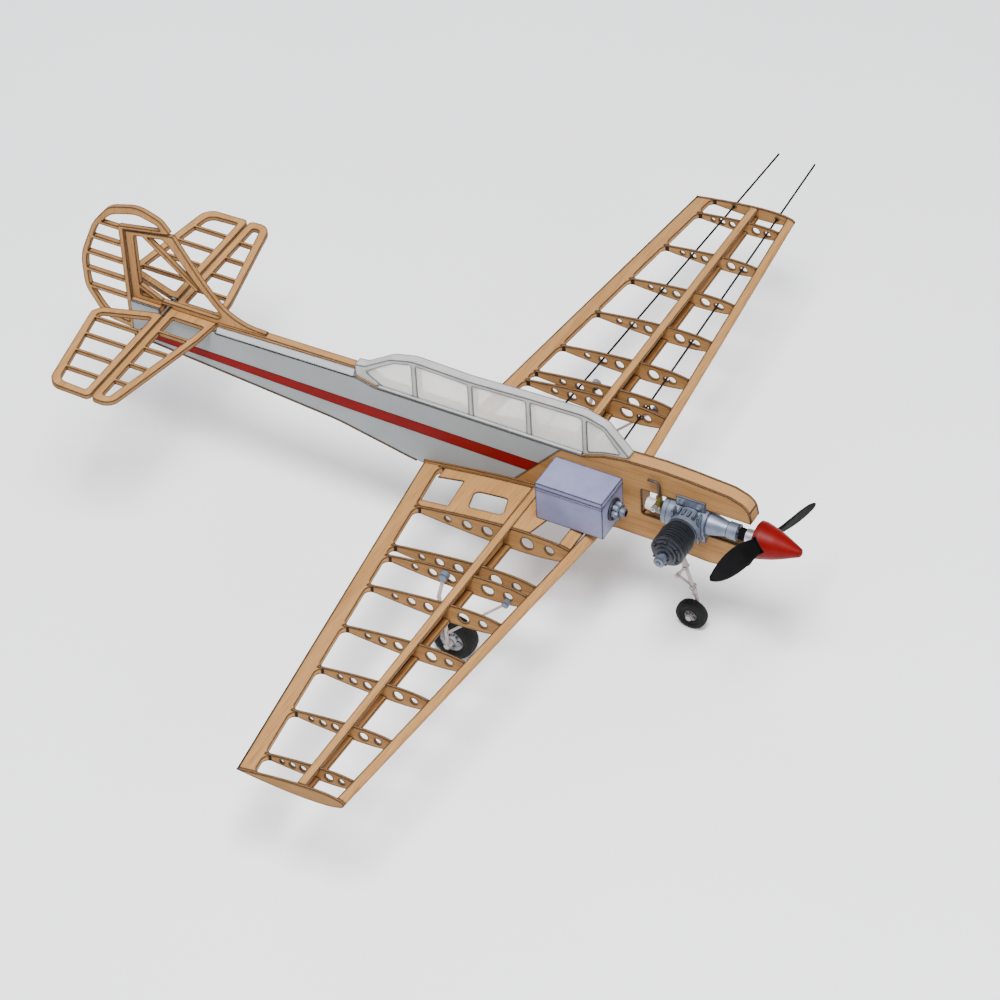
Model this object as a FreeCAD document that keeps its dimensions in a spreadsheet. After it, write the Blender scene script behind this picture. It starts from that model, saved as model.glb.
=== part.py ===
"""Control-line profile model aeroplane, 1:9 of a low-wing two-seat trainer.

Datum axes: +X forward, +Y to port, +Z up, millimetres. Heights and stations are measured
from the root of the wing's trailing edge. The last step moves every sub-part by the same
amount, so that the origin is under the middle of the whole model, on the ground.
"""
import FreeCAD, Part
import math
import os
from FreeCAD import Placement, Rotation, Vector

os.makedirs("parts", exist_ok=True)
doc = FreeCAD.newDocument("profile_trainer")

# ---------------------------------------------------------------- driving dimensions
SIZES = {
    # whole model
    "origin_x": -68.41, "origin_y": 51.654, "ground_z": -116.5,
    # wing
    "half_span": 515.0, "nose_x_root": 154.5, "tail_x_root": -80.5,
    "nose_sweep": 0.0800, "tail_sweep": 0.1327, "section_ratio": 0.13, "chord_rise": 0.0302,
    "dihedral": 1.73, "rib_thick": 3.0, "spar_rear_x": 58.0, "cap_wide": 10.0, "cap_thick": 3.0,
    "web_thick": 1.5, "nose_strip": 9.0, "tail_strip": 20.0, "sheet_thick": 1.5, "gusset": 8.0,
    "saddle_thick": 2.5, "joiner_half": 80.0,
    # fuselage
    "core_thick": 16.0, "skin_thick": 2.0, "tape_thick": 0.3, "keel_thick": 2.5,
    "canopy_wide": 12.0, "pane_thick": 1.0, "spine_wide": 10.0,
    # tail
    "tail_thick": 5.5, "fin_thick": 6.0, "stab_z": 91.75, "elevator_x": -400.0,
    "rudder_x": -449.0, "tail_rib": 3.5, "joiner_wire": 1.5, "horn_thick": 2.0, "horn_arm": 20.0,
    # control system
    "pivot_x": 59.4, "pivot_y": 48.0, "crank_z": 0.5, "crank_thick": 2.5, "line_arm": 46.0,
    "rod_arm": 20.0, "wire": 1.2, "rod": 1.0, "leadout_end": 618.0, "wire_z": 3.6,
    "bolt": 1.5, "line_hole": 0.55,
    # engine
    "crank_axis_y": -9.0, "crank_axis_z": 47.0, "cylinder_x": 247.0, "case_radius": 16.0,
    "fin_radius": 19.0, "bore": 11.0, "shaft": 4.0, "collar_radius": 9.5,
    "spinner_radius": 20.5, "spinner_long": 49.0, "spinner_x": 326.0, "prop_radius": 134.0,
    # tank
    "tank_long": 80.0, "tank_wide": 47.0, "tank_high": 49.6, "tank_wall": 1.2, "tank_x": 85.0,
    "tank_z": 21.4, "lid_high": 6.0,
    # landing gear
    "main_x": 34.0, "main_y": 155.0, "main_radius": 26.0, "main_wide": 20.0, "main_hub": 14.0,
    "nose_x": 242.0, "nose_y": -5.0, "nose_radius": 18.0, "nose_wide": 12.0, "nose_hub": 7.0,
    "axle": 2.0, "fit": 0.06, "main_wire": 2.2, "brace_wire": 1.5,
}

sheet = doc.addObject("Spreadsheet::Sheet", "Sizes")
for row, (alias, value) in enumerate(SIZES.items(), start=1):
    sheet.set("A%d" % row, alias)
    sheet.set("B%d" % row, str(value))
    sheet.setAlias("B%d" % row, alias)
doc.recompute()


def size(alias):
    """The value of one named cell."""
    return float(sheet.get(alias))


NODES = []


def node(item, label, home=None):
    """Name a finished sub-part and remember where it is built: None is the datum frame."""
    item.Label = label
    NODES.append((item, home))
    return item


# ---------------------------------------------------------------- drawing helpers
def rounded(points):
    """Closed outline through corners (x, y) or (x, y, radius), as line and arc geometry."""
    corners = [(Vector(p[0], p[1], 0), p[2] if len(p) > 2 else 0.0) for p in points]
    count = len(corners)
    ends = []
    edges = []
    for i in range(count):
        before = corners[i - 1][0]
        corner, radius = corners[i]
        after = corners[(i + 1) % count][0]
        to_before = (before - corner).normalize()
        to_after = (after - corner).normalize()
        if radius <= 0:
            ends.append((corner, None, corner))
            continue
        half = to_before.getAngle(to_after) / 2
        reach = radius / math.tan(half)
        middle = corner + (to_before + to_after).normalize() * (radius / math.sin(half))
        on_arc = middle + (corner - middle).normalize() * radius
        ends.append((corner + to_before * reach, on_arc, corner + to_after * reach))
    for i in range(count):
        side_length = (corners[(i + 1) % count][0] - corners[i][0]).Length
        used = (ends[i][2] - corners[i][0]).Length
        used += (ends[(i + 1) % count][0] - corners[(i + 1) % count][0]).Length
        if used > side_length + 1e-6:
            raise ValueError("corner radii do not fit the side from %s" % str(points[i]))
    for i in range(count):
        start, on_arc, stop = ends[i]
        if on_arc is not None:
            edges.append(Part.Arc(start, on_arc, stop))
        following = ends[(i + 1) % count][0]
        if (following - stop).Length > 1e-6:
            edges.append(Part.LineSegment(stop, following))
    return edges


def circle(x, y, radius):
    """A round opening for a sketch."""
    return [Part.Circle(Vector(x, y, 0), Vector(0, 0, 1), radius)]


def sketch_in(body, name, role, loops, offset=0.0):
    """A sketch of closed loops on one of the body's own origin planes."""
    sketch = body.newObject("Sketcher::SketchObject", name)
    plane = [f for f in body.Origin.OriginFeatures if f.Role == role][0]
    sketch.AttachmentSupport = [(plane, "")]
    sketch.MapMode = "FlatFace"
    sketch.AttachmentOffset = Placement(Vector(0, 0, offset), Rotation())
    for loop in loops:
        sketch.addGeometry(loop, False)
    return sketch


def plate(name, loops, thick, offset=0.0, role="XZ_Plane"):
    """A flat piece: loops drawn on a plane, thickened evenly both ways to a named size."""
    body = doc.addObject("PartDesign::Body", name)
    sketch = sketch_in(body, name + "_outline", role, loops, offset)
    pad = body.newObject("PartDesign::Pad", name + "_pad")
    pad.Profile = sketch
    pad.setExpression("Length", "Sizes." + thick)
    pad.Midplane = True
    body.Tip = pad
    return body


def turned(name, outline, role="XZ_Plane"):
    """A lathe piece: outline (along the axis, radius) turned about the sketch's own X."""
    body = doc.addObject("PartDesign::Body", name)
    sketch = sketch_in(body, name + "_profile", role, [rounded(outline)])
    turn = body.newObject("PartDesign::Revolution", name + "_turn")
    turn.Profile = sketch
    turn.ReferenceAxis = (sketch, ["H_Axis"])
    turn.Angle = 360.0
    body.Tip = turn
    return body


def cylinder(name, radius, height, at, along):
    """A round bar bound to named sizes; radius and height are expressions."""
    bar = doc.addObject("Part::Cylinder", name)
    bar.setExpression("Radius", radius)
    bar.setExpression("Height", height)
    bar.Placement = Placement(Vector(*at), Rotation(Vector(0, 0, 1), Vector(*along)))
    return bar


def cone(name, first, second, height, at, along):
    """A tapered round bar from radius first to radius second."""
    bar = doc.addObject("Part::Cone", name)
    bar.Radius1 = first
    bar.Radius2 = second
    bar.setExpression("Height", height)
    bar.Placement = Placement(Vector(*at), Rotation(Vector(0, 0, 1), Vector(*along)))
    return bar


def block(name, length, width, height, at):
    """A rectangular block bound to named sizes, from its lowest corner."""
    bar = doc.addObject("Part::Box", name)
    bar.setExpression("Length", length)
    bar.setExpression("Width", width)
    bar.setExpression("Height", height)
    bar.Placement = Placement(Vector(*at), Rotation())
    return bar


def fused(name, items):
    """Several objects joined into one solid."""
    joined = doc.addObject("Part::MultiFuse", name)
    joined.Shapes = items
    return joined


def cut(name, base, tools):
    """One object with the others taken out of it."""
    tool = tools[0] if len(tools) == 1 else fused(name + "_tools", tools)
    result = doc.addObject("Part::Cut", name)
    result.Base = base
    result.Tool = tool
    return result


def feature(name, shape):
    """A shape made in code, for curved wood that no primitive gives."""
    item = doc.addObject("Part::Feature", name)
    item.Shape = shape
    return item


def group(shapes):
    """Several separate solids as one compound."""
    solids = []
    for shape in shapes:
        solids.extend(shape.Solids)
    return Part.makeCompound(solids)


BEND_OVERSIZE = 0.08


def rod(start, stop, radius):
    """Straight round wire between two points."""
    way = stop - start
    return Part.makeCylinder(radius, way.Length, start, way)


def wire_run(points, radius):
    """Bent wire: straight rods with a ball a little over size at each bend, in one solid."""
    run = rod(points[0], points[1], radius)
    for i in range(1, len(points) - 1):
        ball = Part.makeSphere(radius + BEND_OVERSIZE, points[i])
        run = run.fuse([ball, rod(points[i], points[i + 1], radius)])
    return run


def prism(points, low, high):
    """Upright prism over a closed outline in plan, from height low to height high."""
    wire = Part.Wire([g.toShape() for g in rounded(points)])
    solid = Part.Face(wire).extrude(Vector(0, 0, high - low))
    return solid.translate(Vector(0, 0, low))


# ---------------------------------------------------------------- wing section and panel frame
HALF_SPAN = size("half_span")
SPAR_REAR = size("spar_rear_x")
SPAR_FRONT = SPAR_REAR + size("cap_wide")
CAP = size("cap_thick")
NOSE_STRIP = size("nose_strip")
TAIL_STRIP = size("tail_strip")
RIB = size("rib_thick")
FUSELAGE_SIDE = size("core_thick") / 2 + size("skin_thick")
SADDLE_FACE = FUSELAGE_SIDE + size("saddle_thick")
DIHEDRAL = size("dihedral")
PORT = 1
STARBOARD = -1


def nose_x(y):
    """Leading edge of the wing at a distance y from the centreline."""
    return size("nose_x_root") - size("nose_sweep") * y


def tail_x(y):
    """Trailing edge of the wing at a distance y from the centreline."""
    return size("tail_x_root") + size("tail_sweep") * y


def half_depth(x, y):
    """Half the depth of the four-digit symmetrical section at station (x, y)."""
    chord = nose_x(y) - tail_x(y)
    part = min(max((nose_x(y) - x) / chord, 0.0), 1.0)
    curve = (0.2969 * math.sqrt(part) - 0.1260 * part - 0.3516 * part ** 2
             + 0.2843 * part ** 3 - 0.1015 * part ** 4)
    return 5 * size("section_ratio") * chord * curve


def skin_z(x, y, up):
    """Height of the upper (up = 1) or lower (up = -1) surface in the panel's own frame."""
    return size("chord_rise") * (x - tail_x(y)) + up * half_depth(x, y)


def section_wire(y, side, grow=0.0):
    """Closed outline of the wing section at distance y, grown outwards by grow."""
    chord = nose_x(y) - tail_x(y)
    steps = 14
    above = []
    below = []
    for i in range(steps + 1):
        x = nose_x(y) - chord * (1 - math.cos(math.pi * i / steps)) / 2
        above.append(Vector(x, side * y, skin_z(x, y, 1) + grow))
        below.append(Vector(x, side * y, skin_z(x, y, -1) - grow))
    around = above[::-1] + ([] if grow else below[1:])
    if grow:
        around += [Vector(nose_x(y) + grow, side * y, size("chord_rise") * chord)] + below
    curve = Part.BSplineCurve()
    curve.interpolate(around)
    closing = Part.LineSegment(around[-1], around[0])
    return Part.Wire([curve.toShape(), closing.toShape()])


def panel_place(side):
    """The panel's frame, tilted about the root by the dihedral."""
    return Placement(Vector(0, 0, 0), Rotation(Vector(1, 0, 0), side * DIHEDRAL))


def in_airframe(side, x, y, z):
    """A point of a panel's frame, in the datum frame."""
    return panel_place(side).multVec(Vector(x, side * y, z))


def inboard_of(side, distance):
    """Everything inboard of an upright plane, as seen from the panel's frame."""
    start = -40 if side > 0 else -distance
    space = Part.makeBox(400, 40 + distance, 200, Vector(-150, start, -100))
    return space.transformed(panel_place(side).inverse().toMatrix())


def across(side, near, far):
    """The strip of space between two distances from the centreline, in a panel's frame."""
    low = near if side > 0 else -far
    return Part.makeBox(500, far - near, 200, Vector(-200, low, -100))


RIB_STATIONS = (82.0, 215.0, 281.5, 348.0, 416.0, 483.0)
GEAR_STATIONS = (148.0, 165.0)
ROOT_RIB = SADDLE_FACE + RIB
BAY_RIB = RIB_STATIONS[0]
TIP_FACE = HALF_SPAN - RIB
ALL_STATIONS = sorted(RIB_STATIONS + GEAR_STATIONS)
GUIDE_TUBE = 2.3


def line_x(wire, y):
    """Plan position of a lead-out wire: the two draw together towards the tip."""
    arm = size("line_arm")
    start = size("pivot_x") + (arm if wire == "front" else -arm)
    slope = -0.0294 if wire == "front" else 0.0508
    return start + slope * (y - size("pivot_y"))


# ---------------------------------------------------------------- wing
def cap_solid(side, up, near, far, above=0.0, deep=None):
    """Spar strip under the skin from distance near to far; above lowers its outer face."""
    deep = CAP if deep is None else deep
    wires = []
    for y in (near, far):
        outer = skin_z((SPAR_REAR + SPAR_FRONT) / 2, y, up) - up * above
        inner = outer - up * deep
        corners = [(SPAR_REAR, outer), (SPAR_FRONT, outer), (SPAR_FRONT, inner), (SPAR_REAR, inner)]
        wires.append(Part.makePolygon([Vector(x, side * y, z) for x, z in corners + corners[:1]]))
    return Part.makeLoft(wires, True, True)


def rib_blank(side, y, thick, front, rear):
    """Flat rib with the section's outline between two stations along the chord."""
    steps = 10
    places = [rear + (front - rear) * i / steps for i in range(steps + 1)]
    top = Part.BSplineCurve()
    top.interpolate([Vector(x, side * y, skin_z(x, y, 1)) for x in places])
    low = Part.BSplineCurve()
    low.interpolate([Vector(x, side * y, skin_z(x, y, -1)) for x in places])
    edges = [top.toShape(), low.toShape()]
    for x in (rear, front):
        ends = [Vector(x, side * y, skin_z(x, y, up)) for up in (1, -1)]
        edges.append(Part.LineSegment(ends[0], ends[1]).toShape())
    wire = Part.Wire(Part.__sortEdges__(edges))
    return Part.Face(wire).extrude(Vector(0, side * thick, 0))


def drill(side, x, y, z, radius, depth):
    """A round hole through a rib."""
    return Part.makeCylinder(radius, depth, Vector(x, side * (y - 1), z), Vector(0, side, 0))


def lightening(side, y):
    """Holes that lighten a rib: two ahead of the spar and three behind it."""
    front_room = nose_x(y) - NOSE_STRIP - SPAR_FRONT
    rear_room = SPAR_REAR - tail_x(y) - TAIL_STRIP
    holes = []
    places = [(SPAR_FRONT + front_room * a, r) for a, r in ((0.28, 0.52), (0.66, 0.42))]
    places += [(SPAR_REAR - rear_room * a, r) for a, r in ((0.17, 0.48), (0.40, 0.50), (0.62, 0.45))]
    for x, share in places:
        middle = size("chord_rise") * (x - tail_x(y))
        radius = share * (half_depth(x, y) + 0.5)
        if radius > 1.6:
            holes.append(drill(side, x, y, middle, radius, RIB + 2))
    return holes


def rib(side, y, caps, extra):
    """One rib between the leading and trailing edges, notched for the spar."""
    shape = rib_blank(side, y, RIB, nose_x(y + RIB) - NOSE_STRIP, tail_x(y + RIB) + TAIL_STRIP)
    return shape.cut(caps + lightening(side, y) + extra)


def build_panel(side):
    """All the wood of one wing panel, in its own frame; returns named shapes."""
    trim = inboard_of(side, SADDLE_FACE)
    hull = Part.makeLoft([section_wire(0, side), section_wire(HALF_SPAN, side)], True, True)
    framed = hull.common(across(side, 0, TIP_FACE))

    caps = [cap_solid(side, up, 0, TIP_FACE) for up in (1, -1)]
    spar = [cap.cut(trim) for cap in caps]
    notches = [cap_solid(side, up, -1, TIP_FACE + 1, above=-2.0, deep=CAP + 2.0)
               for up in (1, -1)]

    extra = []
    if side == PORT:
        for wire in ("front", "rear"):
            extra += [drill(side, line_x(wire, y), y, size("wire_z"), 3.2, RIB + 2)
                      for y in ALL_STATIONS]
    ribs = [rib(side, y, notches, extra) for y in ALL_STATIONS]
    root = rib_blank(side, 9.0, ROOT_RIB - 9.0, nose_x(ROOT_RIB) - NOSE_STRIP,
                     tail_x(ROOT_RIB) + TAIL_STRIP)
    joiner_way = [cap_solid(side, up, -2.0, size("joiner_half"), above=CAP) for up in (1, -1)]
    ribs.append(root.cut(notches + joiner_way + [trim]))
    tip = Part.Face(section_wire(TIP_FACE, side)).extrude(Vector(0, side * RIB, 0))
    if side == PORT:
        guides = [drill(side, line_x(wire, TIP_FACE + RIB / 2), TIP_FACE, size("wire_z"), GUIDE_TUBE, RIB + 2)
                  for wire in ("front", "rear")]
        tip = tip.cut(guides)
    ribs.append(tip)

    low, high = -60, 60
    front = [(nose_x(0) - NOSE_STRIP, 0), (nose_x(0) + 9, 0),
             (nose_x(HALF_SPAN) + 9, side * HALF_SPAN),
             (nose_x(HALF_SPAN) - NOSE_STRIP, side * HALF_SPAN)]
    leading = framed.common(prism(front, low, high)).cut(trim)

    gusset = size("gusset")
    rear = [(tail_x(0) - 9, 0), (tail_x(0) + TAIL_STRIP + gusset, 0),
            (tail_x(HALF_SPAN) + TAIL_STRIP + gusset, side * HALF_SPAN),
            (tail_x(HALF_SPAN) - 9, side * HALF_SPAN)]
    bays = []
    stations = [ROOT_RIB - RIB] + list(ALL_STATIONS) + [TIP_FACE]
    for near, far in zip(stations[:-1], stations[1:]):
        inner, outer = near + RIB, far
        radius = min(gusset, (outer - inner) / 2 - 0.5)
        edge = [tail_x(y) + TAIL_STRIP for y in (inner, outer)]
        bay = [(edge[0], side * inner, radius), (edge[1], side * outer, radius),
               (edge[1] + 60, side * outer), (edge[0] + 60, side * inner)]
        bays.append(prism(bay, low, high))
    trailing = framed.common(prism(rear, low, high)).cut(bays + [trim])
    trailing = trailing.cut(ribs)

    web_rooms = list(ALL_STATIONS[:6])
    webs = []
    for near, far in zip(web_rooms[:-1], web_rooms[1:]):
        inner, outer = near + RIB, far
        corners = []
        for y, up in ((inner, 1), (outer, 1), (outer, -1), (inner, -1)):
            z = skin_z((SPAR_REAR + SPAR_FRONT) / 2, y, up) - up * CAP
            corners.append(Vector(SPAR_REAR, side * y, z))
        face = Part.Face(Part.makePolygon(corners + corners[:1]))
        webs.append(face.extrude(Vector(size("web_thick"), 0, 0)))

    thick = size("sheet_thick")
    shell = hull.cut(hull.translated(Vector(0, 0, -thick)))
    shell = shell.common(Part.makeBox(400, 1200, 60, Vector(-150, -600, 1.2)))
    room_in, room_out = ROOT_RIB, BAY_RIB
    rear_edge = tail_x(room_in) + TAIL_STRIP + gusset
    whole = [(rear_edge, side * room_in), (SPAR_REAR, side * room_in),
             (SPAR_REAR, side * room_out), (rear_edge, side * room_out)]
    window = [(1.5, side * 41.5, 5), (41.5, side * 41.5, 5), (50, side * 68, 5), (8, side * 68, 5)]
    gap = [(-60, side * 32), (-19, side * 30.3), (-14.7, side * 73.4), (-60, side * 71.5)]
    aft = shell.common(prism(whole, low, high))
    aft = aft.cut([prism(window, low, high), prism(gap, low, high)] + [trailing])
    openings = []
    if side == PORT:
        slot = [(-24, 23, 2.5), (26, 23, 2.5), (26, 33, 2.5), (-24, 33, 2.5)]
        openings.append(prism(slot, low, high))
        aft = aft.cut(openings)
    ahead_out = nose_x(room_out) - NOSE_STRIP
    ahead_in = nose_x(room_in) - NOSE_STRIP
    ahead = [(SPAR_FRONT, side * room_in), (ahead_in, side * room_in),
             (ahead_in, side * (room_in + 22)), (SPAR_FRONT + 34, side * (room_in + 22)),
             (SPAR_FRONT + 22, side * room_out), (SPAR_FRONT, side * room_out)]
    strip = [(ahead_out - 14, side * (room_in + 22)), (ahead_out, side * (room_in + 22)),
             (ahead_out, side * room_out), (ahead_out - 14, side * room_out)]
    forward = shell.common(prism(ahead, low, high).fuse(prism(strip, low, high))).cut(leading)
    return {"leading_edge": [leading], "trailing_edge": [trailing], "spar": spar + webs,
            "ribs": ribs, "root_sheet": [aft, forward]}


PANELS = {STARBOARD: build_panel(STARBOARD), PORT: build_panel(PORT)}
for side, hand in ((STARBOARD, "right"), (PORT, "left")):
    item = feature("ribs_" + hand, group(PANELS[side]["ribs"]))
    node(item, "ribs_" + hand, panel_place(side))


def both_panels(part_name):
    """One kind of piece from both panels, tilted to the dihedral, as separate solids."""
    return [shape.transformed(panel_place(side).toMatrix())
            for side in (STARBOARD, PORT) for shape in PANELS[side][part_name]]


for part_name, label in (("leading_edge", "leading_edges"), ("trailing_edge", "trailing_edges"),
                         ("spar", "spars"), ("root_sheet", "root_sheets")):
    node(feature(label, group(both_panels(part_name))), label)

joiner_parts = []
for up in (1, -1):
    halves = []
    for side in (STARBOARD, PORT):
        strip = cap_solid(side, up, -2.0, size("joiner_half"), above=CAP)
        halves.append(strip.transformed(panel_place(side).toMatrix()))
    joiner_parts.append(halves[0].fuse(halves[1]))
joiners = feature("spar_joiners", group(joiner_parts))
node(joiners, "spar_joiners")
joiner_room = feature("joiner_room", group(joiner_parts))

saddles = []
for side in (STARBOARD, PORT):
    grown = Part.Face(section_wire(FUSELAGE_SIDE, side, 3.0))
    plank = grown.extrude(Vector(0, side * size("saddle_thick"), 0))
    room = joiner_parts
    if side == STARBOARD:
        under_tank = Vector(size("tank_x"), -FUSELAGE_SIDE - size("tank_wide"), size("tank_z"))
        room = joiner_parts + [Part.makeBox(size("tank_long"), size("tank_wide"), 40, under_tank)]
    saddles.append(plank.cut(room))
node(feature("wing_saddles", group(saddles)), "wing_saddles")

# ---------------------------------------------------------------- fuselage
DIAGONAL = [(35.5, 21.5), (84.2, 75.2), (91.3, 83)]
NOSE_LOW = [(316, 4.5, 10), (271, -9.7, 60), (200, -4.3, 60), (154.5, -3.6, 30), (120, -12.5, 60),
            (70, -17.5, 80)]
BELLY = [(0, -14.5, 80), (-60, -6.5, 80), (-96, -0.5, 60), (-187.7, 20, 200)]
SILL = [(118, 83, 20), (143, 92, 20), (168.5, 96, 30)]
NOSE_TOP = [(210, 97.5, 100), (245, 96, 100), (290, 92.5, 30), (313, 84, 18), (316, 66)]
BAY_LOW = 29.0
BAY_HIGH = 64.5
BAY_REAR = 187.0
ENGINE_BAY = [(316, BAY_HIGH), (BAY_REAR, BAY_HIGH, 2), (BAY_REAR, BAY_LOW, 2), (316, BAY_LOW)]
STAB_SEAT = size("stab_z") - size("tail_thick") / 2
STAB_TOP = size("stab_z") + size("tail_thick") / 2
TAIL_END = -447.5
TAIL_TOP = [(TAIL_END, STAB_TOP), (-410, STAB_TOP), (-410, 86), (-396.5, 86), (-396.5, STAB_SEAT),
            (-338, STAB_SEAT), (-338, 86), (-160, 89), (-137, 83, 20)]
TAIL_LOW = [(TAIL_END, 46.5)]
SIDE_CENTRE = size("core_thick") / 2 + size("skin_thick") / 2

core_outline = (NOSE_LOW + BELLY + TAIL_LOW + TAIL_TOP + SILL + NOSE_TOP + ENGINE_BAY)
core_blank = plate("core_blank", [rounded(core_outline)], "core_thick")
beams = []
for name, low in (("upper_beam", BAY_HIGH), ("lower_beam", BAY_LOW - 12.7)):
    beam = doc.addObject("Part::Box", name)
    beam.Length = 210.0
    beam.Height = 12.7
    beam.setExpression("Width", "Sizes.core_thick")
    beam.Placement = Placement(Vector(110, -size("core_thick") / 2, low), Rotation())
    beams.append(beam)
bolt_places = [(x, z) for x in (237.0, 257.0) for z in (25.0, 69.0)]
SCREW = 1.6
bolt_bores = []
for i, (x, z) in enumerate(bolt_places):
    bore = doc.addObject("Part::Cylinder", "bolt_bore_%d" % i)
    bore.Radius = SCREW
    bore.Height = 60.0
    bore.Placement = Placement(Vector(x, -30, z), Rotation(Vector(0, 0, 1), Vector(0, 1, 0)))
    bolt_bores.append(bore)
all_bores = fused("bolt_bores", bolt_bores)
beam_pair = fused("beam_pair", beams)
beams_in_core = doc.addObject("Part::Common", "beams_in_core")
beams_in_core.Base = beam_pair
beams_in_core.Tool = core_blank
node(cut("engine_bearers_cut", beams_in_core, [all_bores]), "engine_bearers")
node(cut("fuselage_core_cut", core_blank, [joiner_room, beam_pair]), "fuselage_core")

SEAM_FOOT = (8, -14.84)
doubler_outline = NOSE_LOW + [SEAM_FOOT, (16, 0)] + DIAGONAL + SILL + NOSE_TOP + ENGINE_BAY
panel_outline = ([(16, 0), SEAM_FOOT] + BELLY + TAIL_LOW + TAIL_TOP + [(91.3, 83)]
                 + DIAGONAL[1::-1])


def pair(name, label, items):
    """Two matching pieces in one node, as separate solids."""
    both = doc.addObject("Part::Compound", name)
    both.Links = items
    return node(both, label)


doublers = []
panels = []
for side, hand in ((STARBOARD, "right"), (PORT, "left")):
    offset = -side * SIDE_CENTRE
    skin = plate("doubler_" + hand, [rounded(doubler_outline)], "skin_thick", offset)
    doublers.append(cut("nose_doubler_cut_" + hand, skin, [joiner_room, all_bores]))
    panels.append(plate("panel_" + hand, [rounded(panel_outline)], "skin_thick", offset))
pair("doubler_pair", "nose_doublers", doublers)
pair("panel_pair", "rear_side_panels", panels)

stripe_outline = [(-438, 49), (-157, 40.3, 400), (49.7, 37.2), (64.1, 53), (-156, 55, 400),
                  (-438, 58)]
tapes = []
for side, hand in ((STARBOARD, "right"), (PORT, "left")):
    offset = -side * (FUSELAGE_SIDE + size("tape_thick") / 2)
    tapes.append(plate("tape_" + hand, [rounded(stripe_outline)], "tape_thick", offset))
pair("tape_pair", "side_stripes", tapes)

keel_top = [(-96, -0.5, 60), (-187.7, 20, 200), (TAIL_END, 46.5)]
keel_low = [(TAIL_END, 44.0), (-187.7, 17.4, 200), (-97.5, -2.8, 60), (-90, -4.2)]
keel_wide = doc.addObject("PartDesign::Body", "keel")
keel_sketch = sketch_in(keel_wide, "keel_outline", "XZ_Plane",
                        [rounded([(-90, -1.5)] + keel_top + keel_low)])
keel_pad = keel_wide.newObject("PartDesign::Pad", "keel_pad")
keel_pad.Profile = keel_sketch
keel_pad.setExpression("Length", "Sizes.core_thick + 2 * Sizes.skin_thick")
keel_pad.Midplane = True
keel_wide.Tip = keel_pad
node(keel_wide, "keel_strip")

# turtle deck: a block that narrows upwards, with a wooden spine on it
DECK_REAR, DECK_FRONT = -338.0, -162.0
deck_wires = []
for x, low, high in ((DECK_REAR, 86.04, 93.0), (DECK_FRONT, 88.97, 97.6)):
    half_top = size("spine_wide") / 2
    corners = [(-FUSELAGE_SIDE, low), (FUSELAGE_SIDE, low), (half_top, high), (-half_top, high)]
    deck_wires.append(Part.makePolygon([Vector(x, y, z) for y, z in corners + corners[:1]]))
node(feature("turtle_deck", Part.makeLoft(deck_wires, True, True)), "turtle_deck")
spine_outline = [(DECK_REAR, 93.0), (DECK_FRONT, 97.6), (DECK_FRONT, 100.6),
                 (-274, 98.9, 200), (DECK_REAR, 96.0)]
node(plate("spine", [rounded(spine_outline)], "spine_wide"), "spine_strip")

# canopy: a narrow frame of posts and rails on a flared sill, with clear panes
RAIL_TOP = 86.0
canopy_outline = [(DECK_FRONT, 89.1), (-160, 89), (-137, 83, 20)] + SILL[:2] + [
    (168.3, 96, 0), (171.5, 98.5), (143.6, 130.4, 14), (120, 137.6, 40), (49.7, 135.8, 200),
    (-20.9, 132.4, 200), (-89.5, 134.6, 40), (-117.6, 127, 20), (-150, 105.8, 10),
    (DECK_FRONT, 104.4)]
windows = [
    [(-149, 99, 2), (-129, RAIL_TOP, 3), (-91, RAIL_TOP, 2), (-91, 129.4, 2), (-113, 123.2, 6)],
    [(-85, RAIL_TOP, 2), (-22, RAIL_TOP, 2), (-22, 127.4, 2), (-85, 129.6, 2)],
    [(-16, RAIL_TOP, 2), (48.5, RAIL_TOP, 2), (48.5, 130.6, 2), (-16, 127.7, 2)],
    [(54.5, RAIL_TOP, 2), (116, RAIL_TOP, 2), (116, 132.4, 2), (54.5, 131, 2)],
    [(122, 88, 2), (141.5, 95, 4), (161.5, 98.8, 2), (140.5, 126.2, 8), (122, 131.8, 2)],
]
canopy_blank = plate("canopy_blank", [rounded(canopy_outline)] + [rounded(w) for w in windows],
                     "canopy_wide")
flares = []
for side in (STARBOARD, PORT):
    foot = [(side * size("canopy_wide") / 2, 83), (side * FUSELAGE_SIDE, 83),
            (side * size("canopy_wide") / 2, RAIL_TOP)]
    face = Part.Face(Part.makePolygon([Vector(-134, y, z) for y, z in foot + foot[:1]]))
    flares.append(face.extrude(Vector(250, 0, 0)))
flare_pair = feature("sill_flares", group(flares))
node(fused("canopy_frame_fused", [canopy_blank, flare_pair]), "canopy_frame")
pane_shapes = []
for side in (STARBOARD, PORT):
    for window in windows:
        wire = Part.Wire([g.toShape() for g in rounded(window)])
        face = Part.Face(wire)
        face.rotate(Vector(0, 0, 0), Vector(1, 0, 0), 90)
        pane = face.extrude(Vector(0, size("pane_thick"), 0))
        pane.translate(Vector(0, side * (size("canopy_wide") / 2 - 1.5) - size("pane_thick") / 2, 0))
        pane_shapes.append(pane)
node(feature("canopy_glazing", group(pane_shapes)), "canopy_glazing")

# ---------------------------------------------------------------- tail
STAB_FACE = -399.0
ELEVATOR_FACE = -401.2
RUDDER_FACE = -450.4
TAIL_THICK = size("tail_thick")
STAB_Z = size("stab_z")


def mirrored(points):
    """The same outline on the other side of the centreline."""
    return [(p[0], -p[1]) + tuple(p[2:]) for p in points]


def strips(frame_holes, boxes):
    """Strips of wood that just fill a frame's openings."""
    room = frame_holes[0] if len(frame_holes) == 1 else frame_holes[0].fuse(frame_holes[1:])
    return [box.common(room) for box in boxes]


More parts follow.
